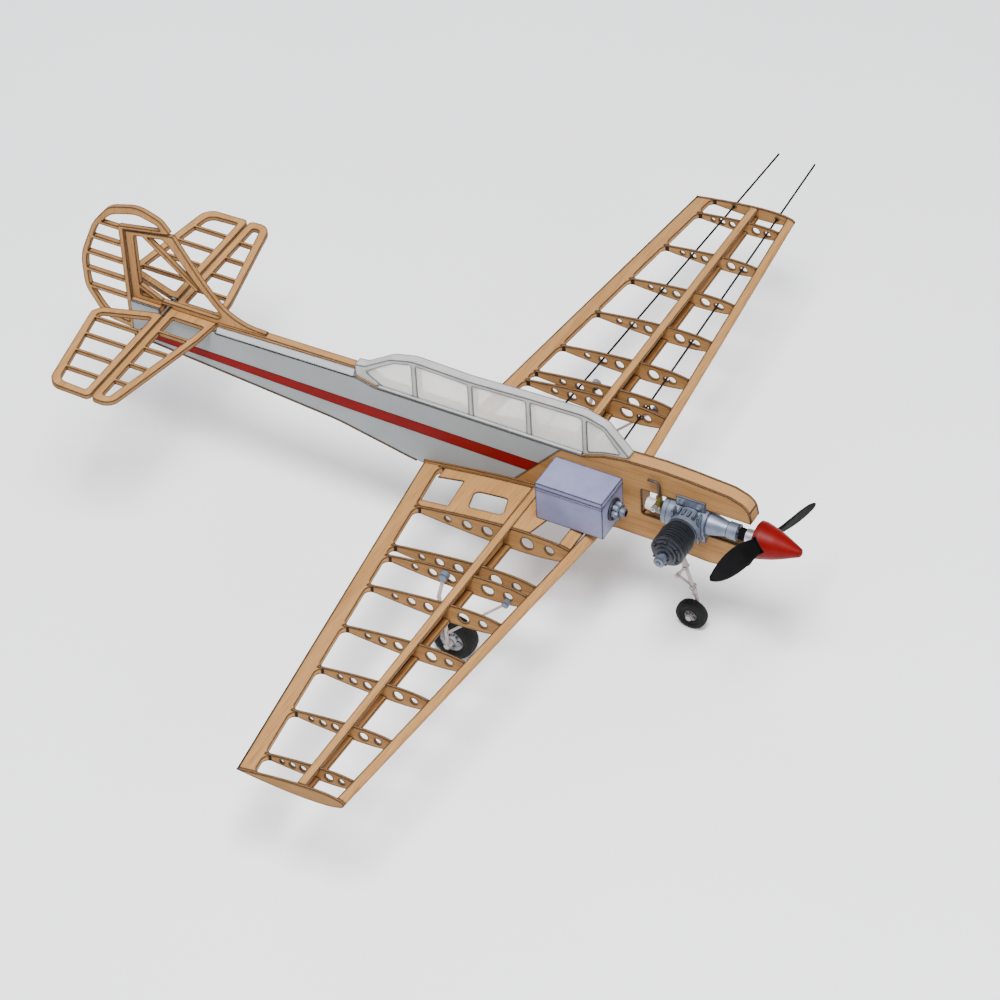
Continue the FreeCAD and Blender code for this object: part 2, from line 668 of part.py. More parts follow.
def rib_boxes(stations, low_x, high_x, low_z, high_z):
    """Upright tail ribs at the given distances along the span."""
    thick = size("tail_rib")
    return [Part.makeBox(high_x - low_x, thick, high_z - low_z,
                         Vector(low_x, y - thick / 2, low_z)) for y in stations]


stab_half = [(STAB_FACE, 168, 6), (-373, 169, 16), (-344, 36, 20), (-340, 0)]
stab_hole = [(-390, 14, 2), (-390, 158, 3), (-381, 158.5, 5), (-352.5, 36, 8), (-349, 14, 2)]
stab_outline = stab_half + mirrored(stab_half[:3])[::-1]
stab_loops = [rounded(stab_outline), rounded(stab_hole), rounded(mirrored(stab_hole))]
stab_blank = plate("stabiliser_blank", stab_loops, "tail_thick", STAB_Z, "XY_Plane")
rib_span = [41.0, 71.0, 101.0, 131.0]
hole_solids = [prism(hole, STAB_SEAT, STAB_TOP) for hole in (stab_hole, mirrored(stab_hole))]
stab_boxes = rib_boxes([s * y for s in (-1, 1) for y in rib_span], -399, -340, STAB_SEAT, STAB_TOP)
stab_ribs = feature("stabiliser_ribs", group(strips(hole_solids, stab_boxes)))
stab_all = doc.addObject("Part::Compound", "stabiliser_all")
stab_all.Links = [stab_blank, stab_ribs]
node(stab_all, "stabiliser")

joiner_x = size("elevator_x") - 4.5
elevator_half = [(ELEVATOR_FACE, 15.5), (ELEVATOR_FACE, 168, 6), (-455, 166.5, 18),
                 (-477, 43, 8), (-469.5, 33, 8), (-411, 15.5, 4)]
elevator_hole = [(-410, 26, 1), (-410, 159, 3), (-446, 157, 12), (-468, 45, 3),
                 (-464, 40.5, 3), (-413, 25, 2)]
wire_bar = cylinder("joiner_bar", "Sizes.joiner_wire", "80", (joiner_x, -40, STAB_Z), (0, 1, 0))
for hand, turn in (("right", mirrored), ("left", list)):
    outline, hole = turn(elevator_half), turn(elevator_hole)
    blank = plate("elevator_blank_" + hand, [rounded(outline), rounded(hole)], "tail_thick",
                  STAB_Z, "XY_Plane")
    frame_cut = cut("elevator_frame_" + hand, blank, [wire_bar])
    stations = [y if hand == "left" else -y for y in (50.0, 78.0, 106.0, 134.0)]
    room = prism(hole, STAB_SEAT, STAB_TOP)
    boxes = rib_boxes(stations, -480, -401, STAB_SEAT, STAB_TOP)
    ribs = feature("elevator_ribs_" + hand, group(strips([room], boxes)))
    both = doc.addObject("Part::Compound", "elevator_all_" + hand)
    both.Links = [frame_cut, ribs]
    node(both, "elevator_" + hand)


def capsule(x, y_low, y_high, half):
    """Slot outline along the sketch's Y between two pin centres."""
    corner = half - 0.01
    low, high = y_low - half, y_high + half
    return [(x - half, low, corner), (x + half, low, corner), (x + half, high, corner),
            (x - half, high, corner)]


horn_pin_z = STAB_Z - size("horn_arm")
horn_x = size("elevator_x")
horn_y = FUSELAGE_SIDE + 3.5
horn_outline = [(-408.5, 95.2, 2), (-402.4, 95.2, 2), (-401.6, 86, 4), (horn_x + 3.6, 77, 6),
                (horn_x + 3.6, 66, 3.2), (horn_x - 3.6, 66, 3.2), (-407.5, 84, 10)]
horn_slot = capsule(horn_x, horn_pin_z - 1.55, horn_pin_z + 0.05, 1.5)
horn_blank = plate("horn_blank", [rounded(horn_outline), rounded(horn_slot)], "horn_thick", -horn_y)
horn_and_wire = fused("elevator_horn_fused", [horn_blank, wire_bar])

# hinges: fixed knuckles with their pins, and the moving knuckles between them
PIN, PIN_BORE, KNUCKLE = 0.35, 0.41, 0.9


def hinge(at, along, to_fixed, to_moving):
    """Fixed and moving halves of one pinned hinge centred on a point."""
    side_way = Vector(1, 0, 0)
    fixed = rod(at - along * 6, at + along * 6, PIN)
    for low in (-6.0, 2.2):
        start = at + along * low
        fixed = fixed.fuse(rod(start, start + along * 3.8, KNUCKLE))
        leaf = leaf_box(start, along, side_way, to_fixed, 3.8)
        fixed = fixed.fuse(leaf)
    start = at - along * 1.9
    moving = rod(start, start + along * 3.8, KNUCKLE - 0.15)
    moving = moving.fuse(leaf_box(start, along, side_way, -to_moving, 3.8))
    moving = moving.cut(rod(at - along * 3, at + along * 3, PIN_BORE))
    return fixed, moving


def leaf_box(start, along, way, reach, wide):
    """Flat leaf from a knuckle to the wood beside it."""
    cross = along.cross(way) * 0.45
    corners = [start - cross, start + cross, start + cross + way * reach, start - cross + way * reach]
    return Part.Face(Part.makePolygon(corners + corners[:1])).extrude(along * wide)


fixed_parts = []
moving_elevator = []
for y in (-140.0, -60.0, 60.0, 140.0):
    centre = Vector(size("elevator_x"), y, STAB_Z)
    gap_fixed = STAB_FACE - size("elevator_x")
    gap_moving = size("elevator_x") - ELEVATOR_FACE
    halves = hinge(centre, Vector(0, 1, 0), gap_fixed, gap_moving)
    fixed_parts.append(halves[0])
    moving_elevator.append(halves[1])
moving_rudder = []
for z in (66.0, 130.0, 176.0):
    centre = Vector(size("rudder_x"), 0, z)
    halves = hinge(centre, Vector(0, 0, 1), TAIL_END - size("rudder_x"),
                   size("rudder_x") - RUDDER_FACE)
    fixed_parts.append(halves[0])
    moving_rudder.append(halves[1])
node(feature("hinge_pins", group(fixed_parts)), "hinge_pins")
elevator_knuckles = feature("elevator_knuckles", group(moving_elevator))
pair("horn_and_knuckles", "elevator_horn", [horn_and_wire, elevator_knuckles])
node(feature("rudder_hinges", group(moving_rudder)), "rudder_hinges")

fin_outline = [(TAIL_END, STAB_TOP), (-410, STAB_TOP), (-410, 97.5), (-396, 97.5),
               (-396, STAB_TOP), (DECK_REAR, STAB_TOP), (DECK_REAR, 96.2), (-276, 99.2),
               (-276, 102), (-300, 102.8, 60), (-327, 113.8, 60), (-353.6, 147, 300),
               (-386, 199.6, 1.5), (TAIL_END, 187.8)]
fin_hole = [(-437, 101.5, 2), (-437, 184.5, 3), (-400, 191.5, 4), (-393, 187, 4),
            (-360.5, 141, 200), (-331, 107.5, 4), (-338, 101.5, 3)]
fin_blank = plate("fin_blank", [rounded(fin_outline), rounded(fin_hole)], "fin_thick")


def upright_prism(points, wide):
    """Prism over an outline in the side view, centred on the symmetry plane."""
    wire = Part.Wire([g.toShape() for g in rounded(points)])
    face = Part.Face(wire)
    face.rotate(Vector(0, 0, 0), Vector(1, 0, 0), 90)
    solid = face.extrude(Vector(0, wide, 0))
    return solid.translate(Vector(0, -wide / 2, 0))


def strip_between(start, stop, wide, thick):
    """Flat strip of wood between two points of the side view."""
    way = Vector(stop[0] - start[0], 0, stop[1] - start[1])
    across_way = Vector(-way.z, 0, way.x).normalize() * (thick / 2)
    first, last = Vector(start[0], -wide / 2, start[1]), Vector(stop[0], -wide / 2, stop[1])
    corners = [first - across_way, last - across_way, last + across_way, first + across_way]
    return Part.Face(Part.makePolygon(corners + corners[:1])).extrude(Vector(0, wide, 0))


FIN_THICK = size("fin_thick")
fin_room = upright_prism(fin_hole, FIN_THICK)
braces = [strip_between((-446, 207.6), (-360, 133.5), FIN_THICK, 5.5),
          strip_between((-446, 118), (-396, 92), FIN_THICK, 5.0)]
fin_braces = feature("fin_braces", group([brace.common(fin_room) for brace in braces]))
fin_all = doc.addObject("Part::Compound", "fin_all")
fin_all.Links = [fin_blank, fin_braces]
node(fin_all, "fin")

rudder_outline = [(RUDDER_FACE, 47.5), (-490, 52, 26), (-511.5, 88, 40), (-512, 133, 80),
                  (-490, 186, 70), (-467, 214.5, 36), (-428, 226.5, 36), (-400, 216.5, 18),
                  (-388.5, 201.8, 1.5), (-447, 189.6), (RUDDER_FACE, 189)]
rudder_hole = [(-456.4, 54.5, 2), (-486, 60, 20), (-505, 91, 34), (-505.5, 131, 72),
               (-485.5, 182, 62), (-463, 206, 30), (-430, 216, 28), (-405, 209.5, 8),
               (-399.5, 203.2, 1.2), (-456.4, 191.8)]
rudder_loops = [rounded(outline) for outline in (rudder_outline, rudder_hole)]
rudder_blank = plate("rudder_blank", rudder_loops, "fin_thick")
rudder_room = upright_prism(rudder_hole, FIN_THICK)
RUDDER_BAR = 4.5
bars = [Part.makeBox(70, FIN_THICK, RUDDER_BAR, Vector(-520, -FIN_THICK / 2, z - RUDDER_BAR / 2))
        for z in (188.0, 164.0, 139.0, 114.0, 90.0)]
rudder_ribs = feature("rudder_ribs", group([bar.common(rudder_room) for bar in bars]))
rudder_all = doc.addObject("Part::Compound", "rudder_all")
rudder_all.Links = [rudder_blank, rudder_ribs]
node(rudder_all, "rudder")

# ---------------------------------------------------------------- control system, port panel
PORT_FRAME = panel_place(PORT)
pivot = Vector(size("pivot_x"), size("pivot_y"), 0)
crank_low = size("crank_z") - size("crank_thick") / 2
crank_high = size("crank_z") + size("crank_thick") / 2
arm, out_arm = size("line_arm"), size("rod_arm")


def about_pivot(points):
    """An outline given from the bellcrank's pivot, in the panel's plan."""
    return [(p[0] + pivot.x, p[1] + pivot.y) + tuple(p[2:]) for p in points]


def swapped(points):
    """An outline with its two directions exchanged."""
    return [(p[1], p[0]) + tuple(p[2:]) for p in points]


crank_outline = about_pivot([
    (arm + 8.4, -4.6, 4), (arm + 8.4, 4.6, 4), (10, 9, 10), (-10, 9, 10), (-arm - 8.4, 4.6, 4),
    (-arm - 8.4, -4.6, 4), (-9, -7, 6), (-5, -out_arm - 5.4, 4.4), (5, -out_arm - 5.4, 4.4),
    (9, -7, 6)])
CRANK_SLOT = 2.9
front_slot = about_pivot(swapped(capsule(0, arm - 0.1, arm + 4.2, CRANK_SLOT)))
rear_slot = about_pivot(swapped(capsule(0, -arm - 4.5, -arm + 0.1, CRANK_SLOT)))
rod_slot = about_pivot(capsule(0, -out_arm - 1.6, -out_arm + 0.1, 1.55))
crank_loops = [rounded(o) for o in (crank_outline, front_slot, rear_slot, rod_slot)]
crank_loops.append(circle(pivot.x, pivot.y, size("bolt") + size("fit")))
node(plate("bellcrank_plate", crank_loops, "crank_thick", size("crank_z"), "XY_Plane"),
     "bellcrank", PORT_FRAME)

MOUNT_TOP = -1.75
mount = Part.makeBox(24, BAY_RIB - ROOT_RIB, 3.0, Vector(50, ROOT_RIB, MOUNT_TOP - 3.0))
lower_joiner = joiner_parts[1].transformed(PORT_FRAME.inverse().toMatrix())
head_low = -4.0
head_room = Part.makeCylinder(3.1, 1.75, Vector(pivot.x, pivot.y, head_low - 0.05))
shank_room = Part.makeCylinder(size("bolt"), 10, Vector(pivot.x, pivot.y, -6))
mount = mount.cut([lower_joiner, head_room, shank_room])
below = Part.makeCylinder(3.1, 3, Vector(pivot.x, pivot.y, head_low - 3.0))
node(feature("bellcrank_mount", group([mount.cut(below)])), "bellcrank_mount", PORT_FRAME)


def pivot_disc(name, radius, low, high):
    """A round part of the pivot bolt between two heights."""
    disc = doc.addObject("Part::Cylinder", name)
    disc.Radius = radius
    disc.Height = high - low
    disc.Placement = Placement(Vector(pivot.x, pivot.y, low), Rotation())
    return disc


shank = cylinder("pivot_shank", "Sizes.bolt", "10.5", (pivot.x, pivot.y, head_low), (0, 0, 1))
nut = doc.addObject("Part::Prism", "pivot_nut")
nut.Polygon = 6
nut.Circumradius = 3.1
nut.Height = 2.4
nut.Placement = Placement(Vector(pivot.x, pivot.y, crank_high + 0.9), Rotation())
bolt_items = [shank, pivot_disc("pivot_head", 3.0, head_low, head_low + 1.6),
              pivot_disc("pivot_spacer", 3.2, MOUNT_TOP, crank_low - 0.1),
              pivot_disc("pivot_washer", 3.4, crank_high + 0.1, crank_high + 0.9), nut]
pivot_bolt = fused("bellcrank_bolt_fused", bolt_items)

WIRE_Z = size("wire_z")
HOLE_INSET = 3.0
for which in ("front", "rear"):
    start_y, end_y = size("pivot_y"), size("leadout_end")
    inner = Vector(line_x(which, start_y), start_y, WIRE_Z)
    outer = Vector(line_x(which, end_y), end_y, WIRE_Z)
    way = (outer - inner).normalize()
    wire = wire_run([inner - Vector(0, 0, 5.4), inner, outer], size("wire"))
    blunt_end = Part.makeCone(size("wire"), size("wire") / 2, 0.6, outer, way)
    hole_foot = outer - way * HOLE_INSET - Vector(0, 0, 2 * size("wire"))
    hole = Part.makeCylinder(size("line_hole"), 4 * size("wire"), hole_foot)
    item = feature("leadout_" + which, wire.fuse(blunt_end).cut(hole))
    node(item, "leadout_" + which, PORT_FRAME)
guides = []
for which in ("front", "rear"):
    centre = Vector(line_x(which, TIP_FACE + RIB / 2), TIP_FACE - 1.5, WIRE_Z)
    tube = Part.makeCylinder(GUIDE_TUBE, RIB + 3.0, centre, Vector(0, 1, 0))
    flange = Part.makeCylinder(3.2, 1.5, Vector(centre.x, HALF_SPAN, WIRE_Z), Vector(0, 1, 0))
    bore = Part.makeCylinder(1.75, 20, centre - Vector(0, 5, 0), Vector(0, 1, 0))
    guides.append(tube.fuse(flange).cut(bore))
node(feature("leadout_guides", group(guides)), "leadout_guides", PORT_FRAME)

rod_height = crank_high + 0.6 + size("rod")
rod_front = in_airframe(PORT, pivot.x, pivot.y - out_arm, rod_height)
rod_foot = in_airframe(PORT, pivot.x, pivot.y - out_arm, crank_low - 0.5)
rod_rear = Vector(horn_x, horn_y + 2.8, horn_pin_z)
rod_tip = Vector(horn_x, horn_y - 1.8, horn_pin_z)
node(feature("pushrod", wire_run([rod_foot, rod_front, rod_rear, rod_tip], size("rod"))), "pushrod")

# ---------------------------------------------------------------- engine, on its side
AXIS_Y, AXIS_Z = size("crank_axis_y"), size("crank_axis_z")
BORE_X = size("cylinder_x")
FORWARD, SIDEWAYS = (1, 0, 0), (0, -1, 0)


def on_axis(x):
    """A point of the crankshaft's axis."""
    return (x, AXIS_Y, AXIS_Z)


def off_bore(y):
    """A point of the cylinder's axis."""
    return (BORE_X, y, AXIS_Z)


def moved(body, x, y, z):
    """Set a lathe piece, drawn about the origin, on its axis."""
    body.Placement = Placement(Vector(x, y, z), Rotation())
    return body


barrel = cylinder("case_barrel", "Sizes.case_radius", "46", on_axis(222), FORWARD)
nose_cone = cone("case_nose", 13.0, 8.0, "22", on_axis(268), FORWARD)
collar = cylinder("case_collar", "Sizes.collar_radius", "12", on_axis(290), FORWARD)
seat = cylinder("case_seat", "17.5", "25", off_bore(AXIS_Y), SIDEWAYS)
lug_plate = block("case_lugs", "34", "3", "54", (230, -FUSELAGE_SIDE - 3.0, 20))
ribs_on_case = [block("case_rib_%d" % i, "2.4", "9", "36", (x, -27, AXIS_Z - 18))
                for i, x in enumerate((231.0, 237.0, 243.0, 249.0, 255.0, 261.0))]
case_all = fused("case_all", [barrel, nose_cone, collar, seat, lug_plate] + ribs_on_case)
chamber = cylinder("crank_chamber", "13", "40", on_axis(222), FORWARD)
shaft_bore = cylinder("shaft_bore", "Sizes.shaft + Sizes.fit", "50", on_axis(260), FORWARD)
liner_bore = cylinder("liner_bore", "Sizes.bore", "30", off_bore(AXIS_Y), SIDEWAYS)
node(cut("crankcase_cut", case_all, [chamber, shaft_bore, liner_bore, all_bores]), "crankcase")

plate_disc = cylinder("backplate_disc", "15", "6", on_axis(216), FORWARD)
plate_stub = cylinder("backplate_stub", "7.5", "10", on_axis(206), FORWARD)
plate_air = cylinder("backplate_air", "4.5", "16", on_axis(206), FORWARD)
node(cut("backplate_cut", fused("backplate_all", [plate_disc, plate_stub]), [plate_air]),
     "backplate")
intake = cylinder("intake_tube", "6.8", "12.5", on_axis(193.5), FORWARD)
intake_air = cylinder("intake_air", "4.5", "12.5", on_axis(193.5), FORWARD)
node(cut("intake_barrel_cut", intake, [intake_air]), "intake_barrel")

# needle valve: an upright brass body beside the fuselage, with the needle across it
VALVE_X, VALVE_Y, NEEDLE_Z = 211.0, -14.5, AXIS_Z + 13
VALVE_LOW, VALVE_HIGH = AXIS_Z + 3, AXIS_Z + 19.5
SEAT_LONG = 9.0


def from_needle(y):
    """A point of the needle's axis, at a distance y outboard of the valve body's axis."""
    return (VALVE_X, VALVE_Y - y, NEEDLE_Z)


spray_bar = doc.addObject("Part::Cylinder", "spray_bar")
spray_bar.Radius = 3.6
spray_bar.Height = VALVE_HIGH - VALVE_LOW
spray_bar.Placement = Placement(Vector(VALVE_X, VALVE_Y, VALVE_LOW), Rotation())
spray_nut = doc.addObject("Part::Prism", "spray_nut")
spray_nut.Polygon = 6
spray_nut.Circumradius = 4.2
spray_nut.Height = 4.0
spray_nut.Placement = Placement(Vector(VALVE_X, VALVE_Y, AXIS_Z + 8.0), Rotation())
needle_seat = cylinder("needle_seat", "2.8", str(SEAT_LONG), from_needle(0), SIDEWAYS)
stub_room = cylinder("stub_room", "7.5", "10", on_axis(206), FORWARD)
needle_channel = cylinder("needle_channel", "1 + Sizes.fit", "12", from_needle(0), SIDEWAYS)
body_all = fused("needle_body_all", [spray_bar, spray_nut, needle_seat])
node(cut("needle_body_cut", body_all, [stub_room, needle_channel]), "needle_valve_body")
needle_stem = cylinder("needle_stem", "1", "12", from_needle(4.0), SIDEWAYS)
needle_knob = cylinder("needle_knob", "3.2", "6", from_needle(SEAT_LONG + 0.3), SIDEWAYS)
node(fused("needle_valve_fused", [needle_stem, needle_knob]), "needle_valve")

# fuel pipe: up from the needle valve body, one easy bend, then back towards the tank
PIPE, PIPE_BEND = 1.8, 5.0
pipe_top, pipe_tail = AXIS_Z + 38.5, 198.0
foot = Vector(VALVE_X, VALVE_Y, VALVE_HIGH)
corner = Vector(VALVE_X, VALVE_Y, pipe_top)
bend_start = corner - Vector(0, 0, PIPE_BEND)
bend_stop = corner - Vector(PIPE_BEND, 0, 0)
bend_middle = (corner - Vector(PIPE_BEND, 0, PIPE_BEND)
               + Vector(math.sqrt(0.5), 0, math.sqrt(0.5)) * PIPE_BEND)
pipe_path = Part.Wire([
    Part.LineSegment(foot, bend_start).toShape(),
    Part.Arc(bend_start, bend_middle, bend_stop).toShape(),
    Part.LineSegment(bend_stop, Vector(pipe_tail, VALVE_Y, pipe_top)).toShape()])
pipe_ring = Part.Wire([Part.makeCircle(PIPE, foot, Vector(0, 0, 1))])
node(feature("fuel_elbow", pipe_path.makePipeShell([pipe_ring], True, True)), "fuel_elbow")

SEAT_FACE, JACKET_FACE = 34.0, 66.0
fin_pitch, fin_thin, fin_count = 4.6, 1.8, 6
jacket = [(JACKET_FACE, size("bore")), (SEAT_FACE, size("bore")), (SEAT_FACE, 15.0)]
for i in range(fin_count):
    start = SEAT_FACE + 2.6 + i * fin_pitch
    jacket += [(start, 15.0), (start, size("fin_radius")), (start + fin_thin, size("fin_radius")),
               (start + fin_thin, 15.0)]
jacket += [(JACKET_FACE, 15.0)]
jacket_body = turned("cylinder_jacket", jacket, "YZ_Plane")
jacket_body.Placement = Placement(Vector(BORE_X, 0, AXIS_Z), Rotation(Vector(0, 0, 1), 180))
node(jacket_body, "cylinder")
head_profile = [(JACKET_FACE, 0), (JACKET_FACE, 19.0, 0.6), (71.0, 19.0, 1), (72.5, 16.0, 1),
                (77.0, 15.0, 1.5), (77.0, 0)]
head_turn = turned("head_turn", head_profile, "YZ_Plane")
head_turn.Placement = jacket_body.Placement
plug_hole = cylinder("plug_hole", "3.2", "20", off_bore(-60), SIDEWAYS)
node(cut("cylinder_head_cut", head_turn, [plug_hole]), "cylinder_head")
plug_profile = [(70.0, 0), (70.0, 3.2), (77.0, 3.2), (77.0, 5.0), (80.0, 5.0), (80.0, 6.4, 0.5),
                (88.0, 6.4, 1), (88.0, 2.0), (89.5, 2.0), (89.5, 0)]
plug_turn = turned("plug_turn", plug_profile, "YZ_Plane")
plug_turn.Placement = jacket_body.Placement
node(plug_turn, "glow_plug")
piston_profile = [(46.0, 0), (46.0, 8.5), (40.0, 8.5), (40.0, 10.94), (60.0, 10.94), (60.0, 0)]
piston_turn = turned("piston_turn", piston_profile, "YZ_Plane")
piston_turn.Placement = jacket_body.Placement
node(piston_turn, "piston")

bolt_bodies = []
for i, (x, z) in enumerate(bolt_places):
    shank_low = -FUSELAGE_SIDE - 3.0
    bolt_bodies.append(cylinder("mount_bolt_%d" % i, "1.6", "26.5", (x, FUSELAGE_SIDE + 3.5, z),
                                SIDEWAYS))
    bolt_bodies.append(cylinder("mount_head_%d" % i, "2.9", "2.4", (x, shank_low, z), SIDEWAYS))
    back_nut = doc.addObject("Part::Prism", "mount_nut_%d" % i)
    back_nut.Polygon = 6
    back_nut.Circumradius = 3.2
    back_nut.Height = 2.6
    back_nut.Placement = Placement(Vector(x, FUSELAGE_SIDE, z), Rotation(Vector(1, 0, 0), -90))
    bolt_bodies.append(back_nut)
pivot_bolt.Placement = PORT_FRAME
pair("all_bolts", "bolts", [fused("engine_bolts_fused", bolt_bodies), pivot_bolt])

# ---------------------------------------------------------------- propeller and spinner
SPIN_X = size("spinner_x")
BACKPLATE = 2.5
crank_disc = cylinder("crank_disc", "12.4", "6", on_axis(226), FORWARD)
crank_pin = cylinder("crank_pin", "2.5", "7", (232, AXIS_Y - 8, AXIS_Z), FORWARD)
shaft_bar = cylinder("shaft_bar", "Sizes.shaft", "113", on_axis(230), FORWARD)
node(fused("crankshaft_fused", [crank_disc, crank_pin, shaft_bar]), "crankshaft")
washer_profile = [(302.5, size("shaft")), (302.5, 5.5), (311.0, 5.5), (311.0, 8.0, 0.5),
                  (SPIN_X - BACKPLATE, 8.6), (SPIN_X - BACKPLATE, size("shaft"))]
drive_washer = moved(turned("washer_turn", washer_profile), 0, AXIS_Y, AXIS_Z)

BLADE_TILT = 22.5
BLADE_ROOT = 6.0


def blade_section(reach):
    """One section across a blade: chord, thickness and pitch change along its length."""
    share = (reach - BLADE_ROOT) / (size("prop_radius") - BLADE_ROOT)
    chord = 11.0 + 58.0 * share - 50.0 * share ** 2 - 13.0 * share ** 6
    deep = 6.0 - 4.6 * share
    pitch = math.radians(52.0 - 40.0 * math.sqrt(share))
    steps = 6
    edges = []
    for up in (1, -1):
        points = []
        for i in range(steps + 1):
            turn = math.pi * i / steps
            along, across_it = chord / 2 * math.cos(turn), up * deep / 2 * math.sin(turn)
            points.append(Vector(along * math.sin(pitch) + across_it * math.cos(pitch),
                                 across_it * math.sin(pitch) - along * math.cos(pitch), reach))
        curve = Part.BSplineCurve()
        curve.interpolate(points[::up])
        edges.append(curve.toShape())
    return Part.Wire(edges)


HUB_X = SPIN_X + 4.5
HUB_LONG = 11.0
reaches = [BLADE_ROOT + (size("prop_radius") - BLADE_ROOT) * share
           for share in (0.0, 0.12, 0.3, 0.5, 0.7, 0.85, 0.95, 1.0)]
blade = Part.makeLoft([blade_section(reach) for reach in reaches], True, False)
prop = Part.makeCylinder(9.0, HUB_LONG, Vector(SPIN_X - HUB_X, 0, 0), Vector(1, 0, 0))
GATE_CHORD, GATE_DEEP, GATE_PITCH = 18.6, 7.2, 40.0
gate_slab = Part.makeBox(GATE_DEEP, GATE_CHORD, 25, Vector(-GATE_DEEP / 2, -GATE_CHORD / 2, 6))
gate_slab.rotate(Vector(0, 0, 0), Vector(0, 0, 1), GATE_PITCH)
gate_slab = gate_slab.common(Part.makeCylinder(40, 40, Vector(SPIN_X - HUB_X - 1.0, 0, 0),
                                               Vector(1, 0, 0)))
gates = []
for half_turn in (0, 180):
    turned_blade = blade.copy()
    gate = gate_slab.copy()
    for item in (turned_blade, gate):
        item.rotate(Vector(0, 0, 0), Vector(1, 0, 0), 90 - BLADE_TILT + half_turn)
    prop = prop.fuse(turned_blade)
    gates.append(gate.translate(Vector(*on_axis(HUB_X))))
prop = prop.cut(Part.makeCylinder(size("shaft"), 40, Vector(-20, 0, 0), Vector(1, 0, 0)))
prop.translate(Vector(*on_axis(HUB_X)))
node(feature("propeller", group([prop])), "propeller")

radius, tip_x = size("spinner_radius"), SPIN_X + size("spinner_long")
outer = [(SPIN_X - BACKPLATE, 0), (SPIN_X - BACKPLATE, radius, 0.6), (SPIN_X + 3, radius, 12),
         (SPIN_X + 19, radius - 4.1, 40), (SPIN_X + 33, radius - 9.6, 40), (tip_x - 1.4, 4.6, 3),
         (tip_x, 1.6, 0.8), (tip_x, 0)]
inner = [(SPIN_X, 0), (SPIN_X, radius - 2.0), (SPIN_X + 3, radius - 2.2), (SPIN_X + 19, radius - 6.4),
         (SPIN_X + 33, radius - 12.4), (tip_x - 8, 3.0), (tip_x - 8, 0)]
shell_outer = moved(turned("spinner_outer", outer), 0, AXIS_Y, AXIS_Z)
shell_inner = moved(turned("spinner_inner", inner), 0, AXIS_Y, AXIS_Z)
shell_shaft = cylinder("spinner_shaft", "Sizes.shaft", "10", on_axis(SPIN_X - 5), FORWARD)
blade_gates = feature("blade_gates", group(gates))
node(cut("spinner_cut", shell_outer, [shell_inner, shell_shaft, blade_gates]), "spinner")
nut_start = SPIN_X + HUB_LONG
nut_profile = [(nut_start, size("shaft")), (nut_start, 6.5), (nut_start + 5, 6.5),
               (nut_start + 5, size("shaft"))]
prop_nut = moved(turned("prop_nut_turn", nut_profile), 0, AXIS_Y, AXIS_Z)
pair("prop_clamp", "drive_washer_and_nut", [drive_washer, prop_nut])

# ---------------------------------------------------------------- fuel tank
TANK_X, TANK_Z = size("tank_x"), size("tank_z")
tank_y = -FUSELAGE_SIDE - size("tank_wide")
wall = size("tank_wall")
body_high = "Sizes.tank_high - Sizes.lid_high"
tank_block = block("tank_block", "Sizes.tank_long", "Sizes.tank_wide", body_high,
                   (TANK_X, tank_y, TANK_Z))
tank_room = block("tank_room", "Sizes.tank_long - 2 * Sizes.tank_wall",
                  "Sizes.tank_wide - 2 * Sizes.tank_wall", "Sizes.tank_high",
                  (TANK_X + wall, tank_y + wall, TANK_Z + wall))
FITTING_Y, FITTING_Z = -33.0, 46.0
tank_face = TANK_X + size("tank_long")
neck_hole = cylinder("neck_hole", "4.5", "10", (tank_face - 5, FITTING_Y, FITTING_Z), FORWARD)
node(cut("tank_body_cut", tank_block, [tank_room, neck_hole]), "tank_body")
lid_low = TANK_Z + size("tank_high") - size("lid_high")
lid_block = block("lid_block", "Sizes.tank_long", "Sizes.tank_wide", "Sizes.lid_high",
                  (TANK_X, tank_y, lid_low))
lid_room = block("lid_room", "Sizes.tank_long - 2 * Sizes.tank_wall",
                 "Sizes.tank_wide - 2 * Sizes.tank_wall", "Sizes.lid_high - Sizes.tank_wall",
                 (TANK_X + wall, tank_y + wall, lid_low))
node(cut("tank_lid_cut", lid_block, [lid_room]), "tank_lid")
fitting_profile = [(-4, 2.5), (-4, 4.5), (0, 4.5), (0, 13.0, 0.8), (3.2, 13.0, 0.8), (3.2, 10.0),
                   (10.0, 10.0, 1), (10.0, 5.0), (16.0, 5.0, 0.5), (16.0, 2.5)]
fitting_turn = moved(turned("fitting_turn", fitting_profile), tank_face, FITTING_Y, FITTING_Z)
lug_notches = []
for i in range(6):
    way = Vector(0, math.cos(math.pi * i / 3), math.sin(math.pi * i / 3)) * 10.5
    lug_notches.append(cylinder("fitting_notch_%d" % i, "2.4", "8",
                                (tank_face + 4.2, FITTING_Y + way.y, FITTING_Z + way.z), FORWARD))
node(cut("tank_fitting_cut", fitting_turn, lug_notches), "tank_fitting")

# ---------------------------------------------------------------- landing gear
GROUND = size("ground_z")
MAIN_Z = GROUND + size("main_radius")
NOSE_Z = GROUND + size("nose_radius")
NOSE_X, NOSE_Y = size("nose_x"), size("nose_y")
slope = math.degrees(math.atan2(9.7 - 4.3, 271 - 200))
bracket_base = Vector(206, -8, -4.77)
bracket = Part.makeBox(30, 16, 2.5, Vector(0, 0, -2.5))
bracket.rotate(Vector(0, 0, 0), Vector(0, 1, 0), slope)
bracket.translate(bracket_base)
LEG_PLANE = 5.0
leg_top = Vector(220.6, LEG_PLANE, -10.6)
leg_knee = Vector(243.6, LEG_PLANE, -84)
leg_foot = Vector(NOSE_X, LEG_PLANE, NOSE_Z)
axle_end = Vector(NOSE_X, NOSE_Y - size("nose_wide") / 2 - 3, NOSE_Z)
leg_way = (leg_knee - leg_top).normalize()
nose_leg = wire_run([leg_top, leg_knee, leg_foot], 2.2)
